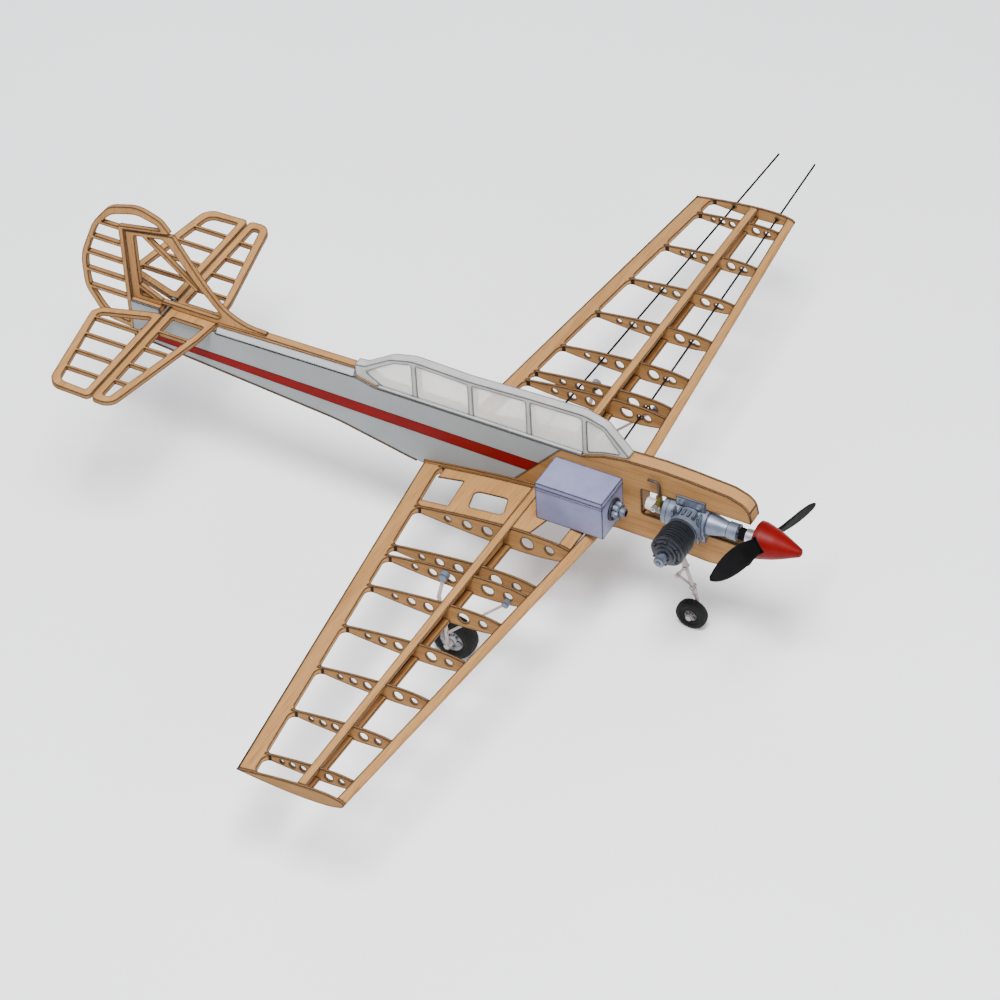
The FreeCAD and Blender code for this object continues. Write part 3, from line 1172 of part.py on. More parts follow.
nose_leg = nose_leg.fuse([rod(leg_foot, axle_end, size("axle")),
                          rod(leg_top - leg_way * 4, leg_top + leg_way * 32, 3.6),
                          rod(leg_top + leg_way * 62, leg_top + leg_way * 70, 3.2),
                          rod(axle_end, axle_end + Vector(0, 2.5, 0), 3.6)])
under_bracket = Part.makeBox(60, 40, 30, Vector(-15, -12, -2.5))
under_bracket.rotate(Vector(0, 0, 0), Vector(0, 1, 0), slope)
under_bracket.translate(bracket_base)
nose_leg = nose_leg.cut(under_bracket)
node(feature("nose_leg", nose_leg.removeSplitter()), "nose_leg")
link_top = leg_top + leg_way * 33.4
link_low = leg_top + leg_way * 60.6
link_apex = (link_top + link_low) / 2 + Vector(-14.0, 0, -3.0)
links = rod(link_top, link_apex, 1.5).fuse([
    rod(link_apex, link_low, 1.5),
    rod(link_apex - Vector(0, 3, 0), link_apex + Vector(0, 3, 0), 2.2),
    rod(link_top - Vector(0, 3.6, 0), link_top + Vector(0, 3.6, 0), 2.8),
    rod(link_low - Vector(0, 3.6, 0), link_low + Vector(0, 3.6, 0), 2.8)])
node(feature("torque_links", links.cut(nose_leg)), "torque_links")


def wheel_hub(name, radius, wide, bore):
    """Spoked-disc hub with a running bore, turned about the axle."""
    half = wide / 2
    profile = [(-half + 0.5, bore), (-half + 0.5, 0.36 * radius), (-half * 0.55, 0.4 * radius),
               (-half * 0.4, 0.84 * radius), (-half * 0.8, radius), (half * 0.8, radius),
               (half * 0.4, 0.84 * radius), (half * 0.55, 0.4 * radius), (half - 0.5, 0.36 * radius),
               (half - 0.5, bore)]
    return turned(name, profile, "YZ_Plane")


def wheel_tyre(name, radius, hub, wide):
    """Balloon tyre round a hub."""
    half = wide / 2
    shoulder = 0.3 * (radius - hub)
    profile = [(-half * 0.8, hub), (-half, hub + shoulder, 1), (-half, radius - 1.6 * shoulder, 3),
               (-half * 0.55, radius, half * 0.4), (half * 0.55, radius, half * 0.4),
               (half, radius - 1.6 * shoulder, 3), (half, hub + shoulder, 1), (half * 0.8, hub)]
    return turned(name, profile, "YZ_Plane")


AXLE_BORE = size("axle") + size("fit")
node(moved(wheel_hub("nose_hub_turn", size("nose_hub"), size("nose_wide"), AXLE_BORE),
           NOSE_X, NOSE_Y, NOSE_Z), "nose_wheel_hub")
node(moved(wheel_tyre("nose_tyre_turn", size("nose_radius"), size("nose_hub"), size("nose_wide")),
           NOSE_X, NOSE_Y, NOSE_Z), "nose_tyre")

LEG_Y = 171.6
main_half = size("main_wide") / 2


def at_leg(x, z):
    """A point in the plane of the port leg."""
    return Vector(x, LEG_Y, z)


hub_point = at_leg(size("main_x"), MAIN_Z)
inner_end = Vector(size("main_x"), size("main_y") - main_half - 3, MAIN_Z)
outward = Vector(0, 1, 0)
rim_face = size("main_y") + main_half + 0.4
port_leg = wire_run([at_leg(35.8, 12), at_leg(27.5, -20), at_leg(34, -66), hub_point],
                    size("main_wire"))
port_leg = port_leg.fuse([
    rod(inner_end, hub_point, size("axle")),
    rod(at_leg(110, 3.2), at_leg(34, -72), size("brace_wire")),
    rod(inner_end, inner_end + outward * 2.4, 3.6),
    rod(hub_point - outward * (LEG_Y - rim_face), hub_point + outward * 2.2, 3.8)])
port_leg = port_leg.removeSplitter()
main_legs = []
bosses = []
for side, hand in ((STARBOARD, "right"), (PORT, "left")):
    leg = port_leg if side == PORT else port_leg.mirror(Vector(0, 0, 0), Vector(0, 1, 0))
    main_legs.append(leg)
    rib_face = Part.makeBox(500, GEAR_STATIONS[1] + RIB, 200,
                            Vector(-200, 0 if side > 0 else -GEAR_STATIONS[1] - RIB, -100))
    rib_face = rib_face.transformed(panel_place(side).toMatrix())
    for x, z, boss in ((35.8, 12, 5.5), (110, 3.2, 4.0)):
        start = Vector(x, side * 164, z)
        bosses.append(rod(start, Vector(x, side * (LEG_Y + 3.4), z), boss).cut([rib_face, leg]))
    middle = (size("main_x"), side * size("main_y"), MAIN_Z)
    node(moved(wheel_hub("main_hub_turn_" + hand, size("main_hub"), size("main_wide"), AXLE_BORE),
               *middle), "main_wheel_hub_" + hand)
    node(moved(wheel_tyre("main_tyre_turn_" + hand, size("main_radius"), size("main_hub"),
                          size("main_wide")), *middle), "main_tyre_" + hand)
node(feature("main_legs", group(main_legs)), "main_legs")
node(feature("gear_fittings", group(bosses + [bracket])), "gear_fittings")

# ---------------------------------------------------------------- place, check and write
doc.recompute()
shift = Placement(Vector(-size("origin_x"), -size("origin_y"), -GROUND), Rotation())
for item, home in NODES:
    placed = shift.multiply(home) if home else shift
    item.Placement = placed.multiply(item.Placement)
doc.recompute()

faults = [obj.Name for obj in doc.Objects if "Invalid" in obj.State or "Error" in obj.State]
if faults:
    raise RuntimeError("objects that failed: " + ", ".join(faults))
whole = FreeCAD.BoundBox()
bad = [item.Label for item, home in NODES
       if item.Shape.isNull() or not item.Shape.isValid() or not item.Shape.Solids]
if bad:
    raise RuntimeError("bad shapes: " + ", ".join(bad))
for item, home in NODES:
    whole.add(item.Shape.BoundBox)
for item, home in NODES:
    item.Shape.exportStep("parts/" + item.Label + ".step")
print("%d sub-parts, box %.1f..%.1f, %.1f..%.1f, %.1f..%.1f mm" % (
    len(NODES), whole.XMin, whole.XMax, whole.YMin, whole.YMax, whole.ZMin, whole.ZMax))
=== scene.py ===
"""Looks for the control-line profile trainer: wood, film, metal, plastic and rubber."""
import math

import bmesh
import bpy
from mathutils import Matrix, Vector


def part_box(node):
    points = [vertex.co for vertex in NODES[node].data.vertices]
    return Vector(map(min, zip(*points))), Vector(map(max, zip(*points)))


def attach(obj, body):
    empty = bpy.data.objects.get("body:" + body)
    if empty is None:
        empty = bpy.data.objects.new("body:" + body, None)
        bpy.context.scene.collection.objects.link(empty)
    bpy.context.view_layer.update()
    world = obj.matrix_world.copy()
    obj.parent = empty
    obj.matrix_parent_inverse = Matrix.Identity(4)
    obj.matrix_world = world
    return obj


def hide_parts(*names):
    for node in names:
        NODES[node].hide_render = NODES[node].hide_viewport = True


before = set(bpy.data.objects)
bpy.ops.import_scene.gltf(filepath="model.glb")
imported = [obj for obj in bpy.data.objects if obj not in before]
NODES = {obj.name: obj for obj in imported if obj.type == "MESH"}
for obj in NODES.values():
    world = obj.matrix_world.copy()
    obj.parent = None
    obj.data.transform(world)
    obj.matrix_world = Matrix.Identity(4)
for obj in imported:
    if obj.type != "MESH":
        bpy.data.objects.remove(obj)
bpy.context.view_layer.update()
MM = 0.001

# ---------------------------------------------------------------- camera, light and floor
CAMERA_AT = Vector((1.91855, -3.131924, 3.33479))
CAMERA_AZIMUTH, CAMERA_ELEVATION, CAMERA_ROLL = -59.109, 42.12, -3.324
LENS, SENSOR, LENS_SHIFT = 160.47, 36.0, -0.0025


def aim_camera():
    """The camera: a long lens, high above the starboard bow."""
    azimuth, elevation = math.radians(CAMERA_AZIMUTH), math.radians(CAMERA_ELEVATION)
    roll = math.radians(CAMERA_ROLL)
    back = Vector((math.cos(elevation) * math.cos(azimuth),
                   math.cos(elevation) * math.sin(azimuth), math.sin(elevation)))
    right = (-back).cross(Vector((0, 0, 1))).normalized()
    up = right.cross(-back).normalized()
    across = right * math.cos(roll) + up * math.sin(roll)
    upward = up * math.cos(roll) - right * math.sin(roll)
    data = bpy.data.cameras.new("camera")
    data.lens, data.sensor_width = LENS, SENSOR
    data.shift_y = LENS_SHIFT
    camera = bpy.data.objects.new("camera", data)
    turn = Matrix((across, upward, back)).transposed().to_4x4()
    camera.matrix_world = Matrix.Translation(CAMERA_AT) @ turn
    bpy.context.scene.collection.objects.link(camera)
    bpy.context.scene.camera = camera


def area_light(name, at, target, wide, power, colour=(1, 1, 1)):
    """A square soft light that faces a point."""
    data = bpy.data.lights.new(name, "AREA")
    data.shape, data.size, data.energy, data.color = "SQUARE", wide, power, colour
    light = bpy.data.objects.new(name, data)
    way = Vector(target) - Vector(at)
    light.matrix_world = Matrix.Translation(at) @ way.to_track_quat("-Z", "Y").to_matrix().to_4x4()
    bpy.context.scene.collection.objects.link(light)


aim_camera()
area_light("key", (0.6, -1.2, 3.6), (0, 0, 0), 1.4, 300)
area_light("side", (3.2, -1.0, 1.6), (0, 0, 0.1), 1.6, 48)
area_light("rear", (-2.6, 2.2, 2.2), (0, 0, 0.1), 2.0, 42, (0.94, 0.97, 1.0))
world = bpy.data.worlds.new("studio")
world.use_nodes = True
background = world.node_tree.nodes["Background"]
background.inputs["Color"].default_value = (0.86, 0.89, 0.95, 1)
background.inputs["Strength"].default_value = 0.72
bpy.context.scene.world = world

# ---------------------------------------------------------------- material nodes
BESIDE_EDGE, CLEAR_OF_EDGE = 0.965, 0.9995


class Paint:
    """A material whose nodes are added one call at a time."""

    def __init__(self, name, rough=0.5, metal=0.0, **sockets):
        self.material = bpy.data.materials.new(name)
        self.material.use_nodes = True
        self.tree = self.material.node_tree
        self.shader = self.tree.nodes["Principled BSDF"]
        self.shader.inputs["Roughness"].default_value = rough
        self.shader.inputs["Metallic"].default_value = metal
        for key, value in sockets.items():
            self.shader.inputs[key.replace("_", " ")].default_value = value
        self.coords = self.tree.nodes.new("ShaderNodeTexCoord")

    def put(self, kind, inputs=None, **settings):
        """A node with some of its inputs linked or set."""
        made = self.tree.nodes.new(kind)
        for key, value in settings.items():
            setattr(made, key, value)
        for key, value in (inputs or {}).items():
            if isinstance(value, bpy.types.NodeSocket):
                self.tree.links.new(value, made.inputs[key])
            else:
                made.inputs[key].default_value = value
        return made

    def place(self, scale, turn=(0, 0, 0)):
        """The object's own coordinates in metres, stretched."""
        return self.put("ShaderNodeMapping", {"Vector": self.coords.outputs["Object"],
                                              "Scale": scale, "Rotation": turn}).outputs[0]

    def noise(self, scale, detail=4.0, stretch=(1, 1, 1), rough=0.5):
        """Noise over the object's coordinates; scale is features to the metre."""
        return self.put("ShaderNodeTexNoise", {"Vector": self.place(stretch), "Scale": scale,
                                               "Detail": detail, "Roughness": rough}).outputs[0]

    def math(self, what, first, second=0.0, third=0.0):
        """One arithmetic step."""
        return self.put("ShaderNodeMath", {0: first, 1: second, 2: third},
                        operation=what).outputs[0]

    def ramp(self, fac, stops):
        """A colour ramp; stops are (place, colour)."""
        made = self.put("ShaderNodeValToRGB", {"Fac": fac})
        ramp = made.color_ramp
        while len(ramp.elements) < len(stops):
            ramp.elements.new(0.5)
        for element, (spot, colour) in zip(ramp.elements, stops):
            element.position = spot
            element.color = tuple(colour) + (1,)
        return made.outputs[0]

    def mix(self, fac, first, second, how="MIX"):
        """Two colours mixed."""
        made = self.tree.nodes.new("ShaderNodeMix")
        made.data_type, made.blend_type = "RGBA", how
        for spot, value in ((0, fac), (6, first), (7, second)):
            if isinstance(value, bpy.types.NodeSocket):
                self.tree.links.new(value, made.inputs[spot])
            elif spot == 0:
                made.inputs[spot].default_value = value
            else:
                made.inputs[spot].default_value = tuple(value) + (1,)
        return made.outputs[2]

    def facing(self, axis):
        """How squarely the surface faces one of the object's own axes, 0 to 1."""
        split = self.put("ShaderNodeSeparateXYZ", {0: self.coords.outputs["Normal"]})
        return self.math("ABSOLUTE", split.outputs["XYZ".index(axis)])

    def along(self, axis):
        """The object's own coordinate along one axis, in metres."""
        split = self.put("ShaderNodeSeparateXYZ", {0: self.coords.outputs["Object"]})
        return split.outputs["XYZ".index(axis)]

    def edges(self, radius):
        """1 beside a sharp edge of the piece, falling to 0 at a distance of radius: a normal
        that is averaged over the radius turns away from the true one beside an edge."""
        soft = self.put("ShaderNodeBevel", {"Radius": radius}, samples=6).outputs[0]
        true = self.put("ShaderNodeNewGeometry").outputs["Normal"]
        turn = self.put("ShaderNodeVectorMath", {0: soft, 1: true},
                        operation="DOT_PRODUCT").outputs["Value"]
        return self.put("ShaderNodeMapRange", {0: turn, 1: BESIDE_EDGE, 2: CLEAR_OF_EDGE,
                                               3: 1.0, 4: 0.0}).outputs[0]

    def outlined(self, value, radius, dark):
        """A colour with its sharp edges darkened: laser scorch on wood, painted shade on film, metal
        and plastic.
        """
        return self.mix(self.edges(radius), value, dark)

    def colour(self, value):
        """Send a colour to the shader."""
        self.tree.links.new(value, self.shader.inputs["Base Color"])
        return self

    def roughness(self, fac, low, high):
        """Roughness that varies between two values."""
        spread = self.put("ShaderNodeMapRange", {0: fac, 3: low, 4: high})
        self.tree.links.new(spread.outputs[0], self.shader.inputs["Roughness"])
        return self

    def bump(self, height, distance, strength=1.0):
        """Fine relief; distance is its depth in metres."""
        made = self.put("ShaderNodeBump", {"Height": height, "Distance": distance,
                                           "Strength": strength})
        self.tree.links.new(made.outputs[0], self.shader.inputs["Normal"])
        return self


GRAIN = {"X": (0.03, 1, 1), "Y": (1, 0.03, 1), "Z": (1, 1, 0.03)}
PLY_THICK = 0.8 * MM
CHAR = (0.010, 0.006, 0.004)
CHAR_WIDE = 2.8 * MM


def wood(name, grain, flat=None, tone=1.0, edge=0.5, plies=False):
    """Light wood with long grain along one axis, charred at its laser-cut edges. A sheet that
    lies flat across an axis gets darker cut sides, and plywood also shows its layers there."""
    paint = Paint(name, rough=0.62, Specular_IOR_Level=0.12)
    broad = paint.noise(70, 3, GRAIN[grain])
    fine = paint.noise(900, 5, GRAIN[grain], 0.6)
    light = [c * tone for c in (0.375, 0.196, 0.070)]
    middle = [c * tone for c in (0.315, 0.155, 0.052)]
    dark = [c * tone for c in (0.36, 0.180, 0.070)]
    body = paint.ramp(broad, [(0.32, middle), (0.55, light), (0.75, middle)])
    streaks = paint.ramp(fine, [(0.35, dark), (0.52, (1, 1, 1)), (1.0, (1, 1, 1))])
    face = paint.mix(0.42, body, streaks, "MULTIPLY")
    if flat:
        squarely = paint.facing(flat)
        side = paint.ramp(squarely, [(0.55, (0, 0, 0)), (0.8, (1, 1, 1))])
        cut = paint.mix(0.5, face, tuple(c * edge for c in (0.22, 0.11, 0.045)))
        if plies:
            layer = paint.math("FRACT", paint.math("MULTIPLY", paint.along(flat), 1 / PLY_THICK))
            band = paint.ramp(layer, [(0.45, (0.13, 0.062, 0.025)), (0.55, (0.30, 0.160, 0.065))])
            cut = paint.mix(0.5, cut, band)
        face = paint.mix(side, cut, face)
    paint.colour(paint.outlined(face, CHAR_WIDE, CHAR))
    paint.roughness(fine, 0.55, 0.78)
    return paint.bump(fine, 0.00012, 0.6).material


# Colour and widths of the painted shade along sharp edges of film, metal and plastic; on the tank it
# also marks the real lid joint.
EDGE_SHADE_AND_SEAM = (0.006, 0.006, 0.007)
EDGE_SHADE_WIDE, CAST_EDGE_SHADE, TURNED_EDGE_SHADE = 2.6 * MM, 1.5 * MM, 0.8 * MM


def film(name, light, dark, rough=0.4):
    """Covering film over wood: a faint print of the grain, and painted shade along its sharp edges.
    """
    paint = Paint(name, rough=rough, Specular_IOR_Level=0.1)
    cloud = paint.noise(18, 4)
    grain = paint.noise(700, 4, GRAIN["X"])
    # Painted shade darkens the film's sharp edges.
    paint.colour(paint.outlined(paint.ramp(cloud, [(0.3, dark), (0.7, light)]), EDGE_SHADE_WIDE, EDGE_SHADE_AND_SEAM))
    paint.roughness(grain, rough - 0.06, rough + 0.1)
    return paint.bump(grain, 0.00008, 0.35).material


def cast_metal(name, light, dark, rough, metal):
    """Blasted casting: a fine even grit, slight colour change, and painted shade along its sharp
    edges.
    """
    paint = Paint(name, rough=rough, metal=metal)
    cloud = paint.noise(90, 3)
    sand = paint.noise(1400, 3)
    # Painted shade darkens the casting's sharp edges.
    paint.colour(paint.outlined(paint.ramp(cloud, [(0.3, dark), (0.7, light)]), CAST_EDGE_SHADE, EDGE_SHADE_AND_SEAM))
    paint.roughness(sand, rough - 0.08, rough + 0.14)
    return paint.bump(sand, 0.0001, 0.5).material


def turned_metal(name, light, dark, axis, rough):
    """Lathe-turned metal: fine rings along one axis, and painted shade along its sharp edges."""
    paint = Paint(name, rough=rough, metal=0.9)
    rings = paint.put("ShaderNodeTexNoise", {
        "Vector": paint.place(tuple(1 if a == axis else 0.02 for a in "XYZ")),
        "Scale": 2600.0, "Detail": 3.0}).outputs[0]
    # Painted shade darkens the turned part's sharp edges.
    paint.colour(paint.outlined(paint.ramp(rings, [(0.35, dark), (0.65, light)]), TURNED_EDGE_SHADE, EDGE_SHADE_AND_SEAM))
    paint.roughness(rings, rough - 0.08, rough + 0.12)
    return paint.bump(rings, 0.00005, 0.5).material


def plastic(name, light, dark, rough=0.4, grit=1200.0, depth=0.00006, painted_edge_width=0.0, **sockets):
    """Moulded plastic with a faint skin texture; a width given for the edges puts painted shade that
    wide along its sharp edges.
    """
    paint = Paint(name, rough=rough, **sockets)
    cloud = paint.noise(40, 3)
    skin = paint.noise(grit, 3)
    body = paint.ramp(cloud, [(0.35, dark), (0.65, light)])
    # Painted shade along the sharp edges, when a width is given.
    paint.colour(paint.outlined(body, painted_edge_width, EDGE_SHADE_AND_SEAM) if painted_edge_width else body)
    paint.roughness(skin, rough - 0.06, rough + 0.1)
    return paint.bump(skin, depth, 0.5).material


def clear_pane():
    """Thin clear sheet with a trace of haze."""
    paint = Paint("clear_pane", rough=0.08, Alpha=0.38, IOR=1.3)
    haze = paint.noise(30, 3)
    paint.colour(paint.ramp(haze, [(0.3, (0.78, 0.77, 0.70)), (0.7, (0.88, 0.87, 0.81))]))
    return paint.roughness(haze, 0.05, 0.14).material


MATERIALS = {
    "rib": wood("rib_ply", "X", "Y", 0.74, 0.6, plies=True),
    "span": wood("balsa_span", "Y", None, 0.93),
    "sheet": wood("balsa_sheet", "Y", "Z", 0.98, 0.8),
    "tail_span": wood("balsa_tail", "Y", "Z", 0.98, 0.55),
    "upright": wood("balsa_upright", "Z", "Y", 0.95, 0.8),
    "long": wood("balsa_long", "X", "Y", 1.0, 1.3),
    "ply": wood("nose_ply", "X", "Y", 0.78, 1.2, plies=True),
    "beam": wood("maple_beam", "X", None, 0.8),
    "keel": wood("keel_spruce", "X", None, 0.45),
    "grey": film("grey_film", (0.225, 0.238, 0.240), (0.198, 0.210, 0.212)),
    "grey_light": film("grey_film_light", (0.36, 0.378, 0.382), (0.325, 0.342, 0.346)),
    "red": film("red_tape", (0.150, 0.000, 0.000), (0.125, 0.000, 0.000), 0.6),
    "case": cast_metal("engine_casting", (0.150, 0.178, 0.235), (0.100, 0.121, 0.165), 0.42, 0.5),
    "dark_case": cast_metal("cylinder_alloy", (0.036, 0.041, 0.052), (0.018, 0.021, 0.028),
                            0.42, 0.5),
    "steel": turned_metal("bright_steel", (0.50, 0.51, 0.53), (0.34, 0.35, 0.37), "X", 0.34),
    "wire": turned_metal("music_wire", (0.34, 0.34, 0.36), (0.21, 0.21, 0.22), "Z", 0.38),
    "dark_wire": turned_metal("line_wire", (0.022, 0.022, 0.024), (0.010, 0.010, 0.012), "Y", 0.5),
    "brass": turned_metal("brass", (0.34, 0.28, 0.085), (0.20, 0.165, 0.045), "Z", 0.36),
    "black": plastic("prop_black", (0.0035, 0.0035, 0.004), (0.002, 0.002, 0.0022), 0.75, 900.0,
                     Specular_IOR_Level=0.04),
    "spinner": plastic("spinner_red", (0.125, 0.0, 0.0), (0.105, 0.0, 0.0), 0.42,
                       painted_edge_width=1.8 * MM, Specular_IOR_Level=0.12),
    "white": plastic("white_nylon", (0.60, 0.60, 0.58), (0.50, 0.50, 0.48), 0.45, painted_edge_width=1.8 * MM),
    "sheath": plastic("leg_sheath", (0.40, 0.335, 0.315), (0.30, 0.25, 0.235), 0.5, painted_edge_width=1.1 * MM),
    "canopy": plastic("canopy_frame_grey", (0.35, 0.35, 0.337), (0.30, 0.30, 0.288), 0.45,
                      painted_edge_width=3.0 * MM),
    "tank": plastic("tank_polythene", (0.180, 0.187, 0.300), (0.152, 0.158, 0.262), 0.4,
                    painted_edge_width=2.4 * MM, Specular_IOR_Level=0.25),
    "rubber": plastic("tyre_rubber", (0.006, 0.006, 0.006), (0.0035, 0.0035, 0.0035), 0.7, 500.0,
                      0.00015, Specular_IOR_Level=0.2),
    "hub": plastic("hub_grey", (0.36, 0.365, 0.37), (0.27, 0.275, 0.28), 0.45, painted_edge_width=1.1 * MM),
    "tube": plastic("fuel_tube", (0.032, 0.014, 0.010), (0.018, 0.008, 0.006), 0.4),
    "pane": clear_pane(),
}

NODE_MATERIALS = {
    "ribs_right": "rib", "ribs_left": "rib", "leading_edges": "span", "trailing_edges": "span",
    "spars": "span", "root_sheets": "sheet", "spar_joiners": "span", "wing_saddles": "long",
    "engine_bearers": "beam", "fuselage_core": "long", "nose_doublers": "ply",
    "rear_side_panels": "grey", "side_stripes": "red", "keel_strip": "keel",
    "turtle_deck": "grey_light", "spine_strip": "long", "canopy_frame": "canopy",
    "canopy_glazing": "pane", "stabiliser": "tail_span", "elevator_right": "tail_span",
    "elevator_left": "tail_span", "hinge_pins": "wire", "elevator_horn": "wire",
    "rudder_hinges": "brass", "fin": "upright", "rudder": "upright", "bellcrank": "dark_case",
    "bellcrank_mount": "span", "leadout_front": "dark_wire", "leadout_rear": "dark_wire",
    "leadout_guides": "brass", "pushrod": "wire", "crankcase": "case", "backplate": "case",
    "intake_barrel": "white", "needle_valve_body": "brass", "needle_valve": "steel",
    "fuel_elbow": "tube", "cylinder": "dark_case", "cylinder_head": "dark_case",
    "glow_plug": "case", "piston": "steel", "bolts": "steel", "crankshaft": "steel",
    "drive_washer_and_nut": "steel", "propeller": "black", "spinner": "spinner",
    "tank_body": "tank", "tank_lid": "tank", "tank_fitting": "dark_case", "nose_leg": "sheath",
    "torque_links": "sheath", "nose_wheel_hub": "hub", "nose_tyre": "rubber",
    "main_legs": "sheath", "gear_fittings": "case", "main_wheel_hub_right": "hub",
    "main_tyre_right": "rubber", "main_wheel_hub_left": "hub", "main_tyre_left": "rubber",
}

for label, item in NODES.items():
    item.data.materials.clear()
    item.data.materials.append(MATERIALS[NODE_MATERIALS[label]])

# ---------------------------------------------------------------- mesh builders


def shown(name, mesh, paint, body, slot_name, *stands_for):
    """Put a finished mesh in the scene, on its body, in place of the CAD nodes it stands for."""
    piece = bpy.data.objects.new(name, mesh)
    bpy.context.scene.collection.objects.link(piece)
    mesh.materials.append(MATERIALS[paint])
    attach(piece, body)
    if stands_for:
        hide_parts(*stands_for)
    return piece


def frame_of(axis):
    """An axis of length 1 and two directions square to it."""
    axis = Vector(axis).normalized()
    helper = Vector((0, 0, 1)) if abs(axis.z) < 0.9 else Vector((1, 0, 0))
    first = axis.cross(helper).normalized()
    return axis, first, axis.cross(first)


def bridge(bm, here, following):
    """Faces between two closed rows of points."""
    count = len(here)
    for j in range(count):
        k = (j + 1) % count
        bm.faces.new((here[j], here[k], following[k], following[j]))


def lathe(bm, at, axis, profile, steps=64, wave=None):
    """Turn a profile of (along, radius) about an axis; the profile closes on itself.
    wave(turn, point number) gives a change of radius, for teeth and treads."""
    axis, first, second = frame_of(axis)
    rows = []
    for i in range(steps):
        turn = 2 * math.pi * i / steps
        way = first * math.cos(turn) + second * math.sin(turn)
        row = []
        for j, (along, radius) in enumerate(profile):
            more = wave(i, j) if wave else 0.0
            row.append(bm.verts.new(Vector(at) + axis * along + way * (radius + more)))
        rows.append(row)
    for i in range(steps):
        bridge(bm, rows[i], rows[(i + 1) % steps])


PINHOLE = 0.02 * MM


def solid_lathe(bm, at, axis, profile, steps=48, wave=None):
    """A turned piece with closed ends: the profile runs down to the axis at both ends."""
    first, last = profile[0][0], profile[-1][0]
    closed = [(first, PINHOLE)] + list(profile) + [(last, PINHOLE)]
    lathe(bm, at, axis, closed, steps, wave)


def finish_mesh(bm, name, smooth=35):
    """A mesh with outward faces, smooth except at edges that turn by more than smooth degrees."""
    bmesh.ops.recalc_face_normals(bm, faces=bm.faces)
    for edge in bm.edges:
        edge.smooth = not (len(edge.link_faces) == 2
                           and edge.calc_face_angle() > math.radians(smooth))
    for face in bm.faces:
        face.smooth = True
    mesh = bpy.data.meshes.new(name)
    bm.to_mesh(mesh)
    bm.free()
    return mesh


def ring_piece(name, at, axis, profile, steps, wave=None):
    """The mesh of a ring turned from a profile."""
    bm = bmesh.new()
    lathe(bm, at, axis, profile, steps, wave)
    return finish_mesh(bm, name)


def centre_of(label):
    """Middle of a CAD node's box."""
    low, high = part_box(label)
    return (low + high) / 2


def size_of(label):
    """Lengths of a CAD node's box."""
    low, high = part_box(label)
    return high - low


# ---------------------------------------------------------------- wheels
ACROSS = (0, 1, 0)
BIG_WHEEL = 20 * MM
GROOVE_DEEP, CUT_DEEP = 0.6 * MM, 0.5 * MM
SHOULDER_STEPS = 6
TREAD_STEPS, CUT_EVERY = 144, 6


def tyre(label, body, grooves):
    """Balloon tyre: rounded shoulders, grooves round the tread and fine cross cuts."""
    centre, spread = centre_of(label), size_of(label)
    radius, half = spread.x / 2, spread.y / 2
    hub = radius * (0.54 if radius > BIG_WHEEL else 0.44)
    shoulder = []
    for i in range(SHOULDER_STEPS + 1):
        turn = math.radians(-80 + 70 * i / SHOULDER_STEPS)
        shoulder.append((half * (0.72 + 0.28 * math.cos(turn)),
                         radius * (0.80 + 0.18 * math.sin(turn))))
    crown = []
    for i in range(grooves * 4 + 1):
        share = -1 + 2 * i / (grooves * 4)
        dip = GROOVE_DEEP if i % 4 == 2 else 0.0
        crown.append((share * half * 0.80, radius * (1 - 0.045 * share ** 2) - dip))
    profile = [(-half * 0.78, hub)] + [(-along, out) for along, out in shoulder] + crown
    profile += shoulder[::-1] + [(half * 0.78, hub)]
    first_crown = 1 + len(shoulder)
    tread = range(first_crown, first_crown + len(crown))

    def cut(step, spot):
        """Cross cuts at every other point of the tread."""
        return -CUT_DEEP if spot in tread and step % CUT_EVERY == 0 and spot % 2 == 0 else 0.0

    bm = bmesh.new()
    lathe(bm, centre, ACROSS, profile, TREAD_STEPS, cut)
    return shown(label + "_tread", finish_mesh(bm, label + "_tread", 50), "rubber", body,
                 "tyre_black", label)


AXLE_HOLE = 2.06 * MM
HUB_SIDE = ((0.94, 0.34), (0.45, 0.38), (0.36, 0.48), (0.36, 0.74), (0.42, 0.82), (0.80, 0.90),
            (0.86, 0.97), (0.78, 1.0))


def spoke(bm, centre, turn, side, radius, half):
    """One tapered spoke that stands up from the dish on one side of a hub."""
    axis, first, second = frame_of(ACROSS)
    way = first * math.cos(turn) + second * math.sin(turn)
    across = axis.cross(way)
    wide = radius * 0.075
    face, rise = half * 0.36 * side, half * 0.22 * side
    corners = []
    for along, thick, height in ((radius * 0.36, wide * 1.5, rise),
                                 (radius * 0.86, wide, rise * 0.6)):
        for shift in (-1, 1):
            base = centre + way * along + across * (thick * shift)
            corners.append(bm.verts.new(base + axis * (face - rise * 0.3)))
            corners.append(bm.verts.new(base - across * (thick * shift * 0.35)
                                        + axis * (face + height)))
    for loop in ((0, 1, 3, 2), (4, 6, 7, 5), (0, 4, 5, 1), (2, 3, 7, 6), (1, 5, 7, 3),
                 (0, 2, 6, 4)):
        bm.faces.new([corners[i] for i in loop])


def wheel_hub(label, body, spokes):
    """Moulded hub: rim bead, recessed dish with raised spokes on both sides, and a centre boss."""
    centre, spread = centre_of(label), size_of(label)
    radius, half = spread.x / 2, spread.y / 2
    outward = [(half, AXLE_HOLE), (half, radius * 0.30)]
    outward += [(half * along, radius * out) for along, out in HUB_SIDE]
    profile = [(-along, out) for along, out in outward] + outward[::-1]
    bm = bmesh.new()
    lathe(bm, centre, ACROSS, profile, spokes * 12)
    for side in (-1, 1):
        for i in range(spokes):
            spoke(bm, centre, 2 * math.pi * (i + 0.5) / spokes, side, radius, half)
    return shown(label + "_spoked", finish_mesh(bm, label + "_spoked", 40), "hub", body,
                 "hub_grey", label)


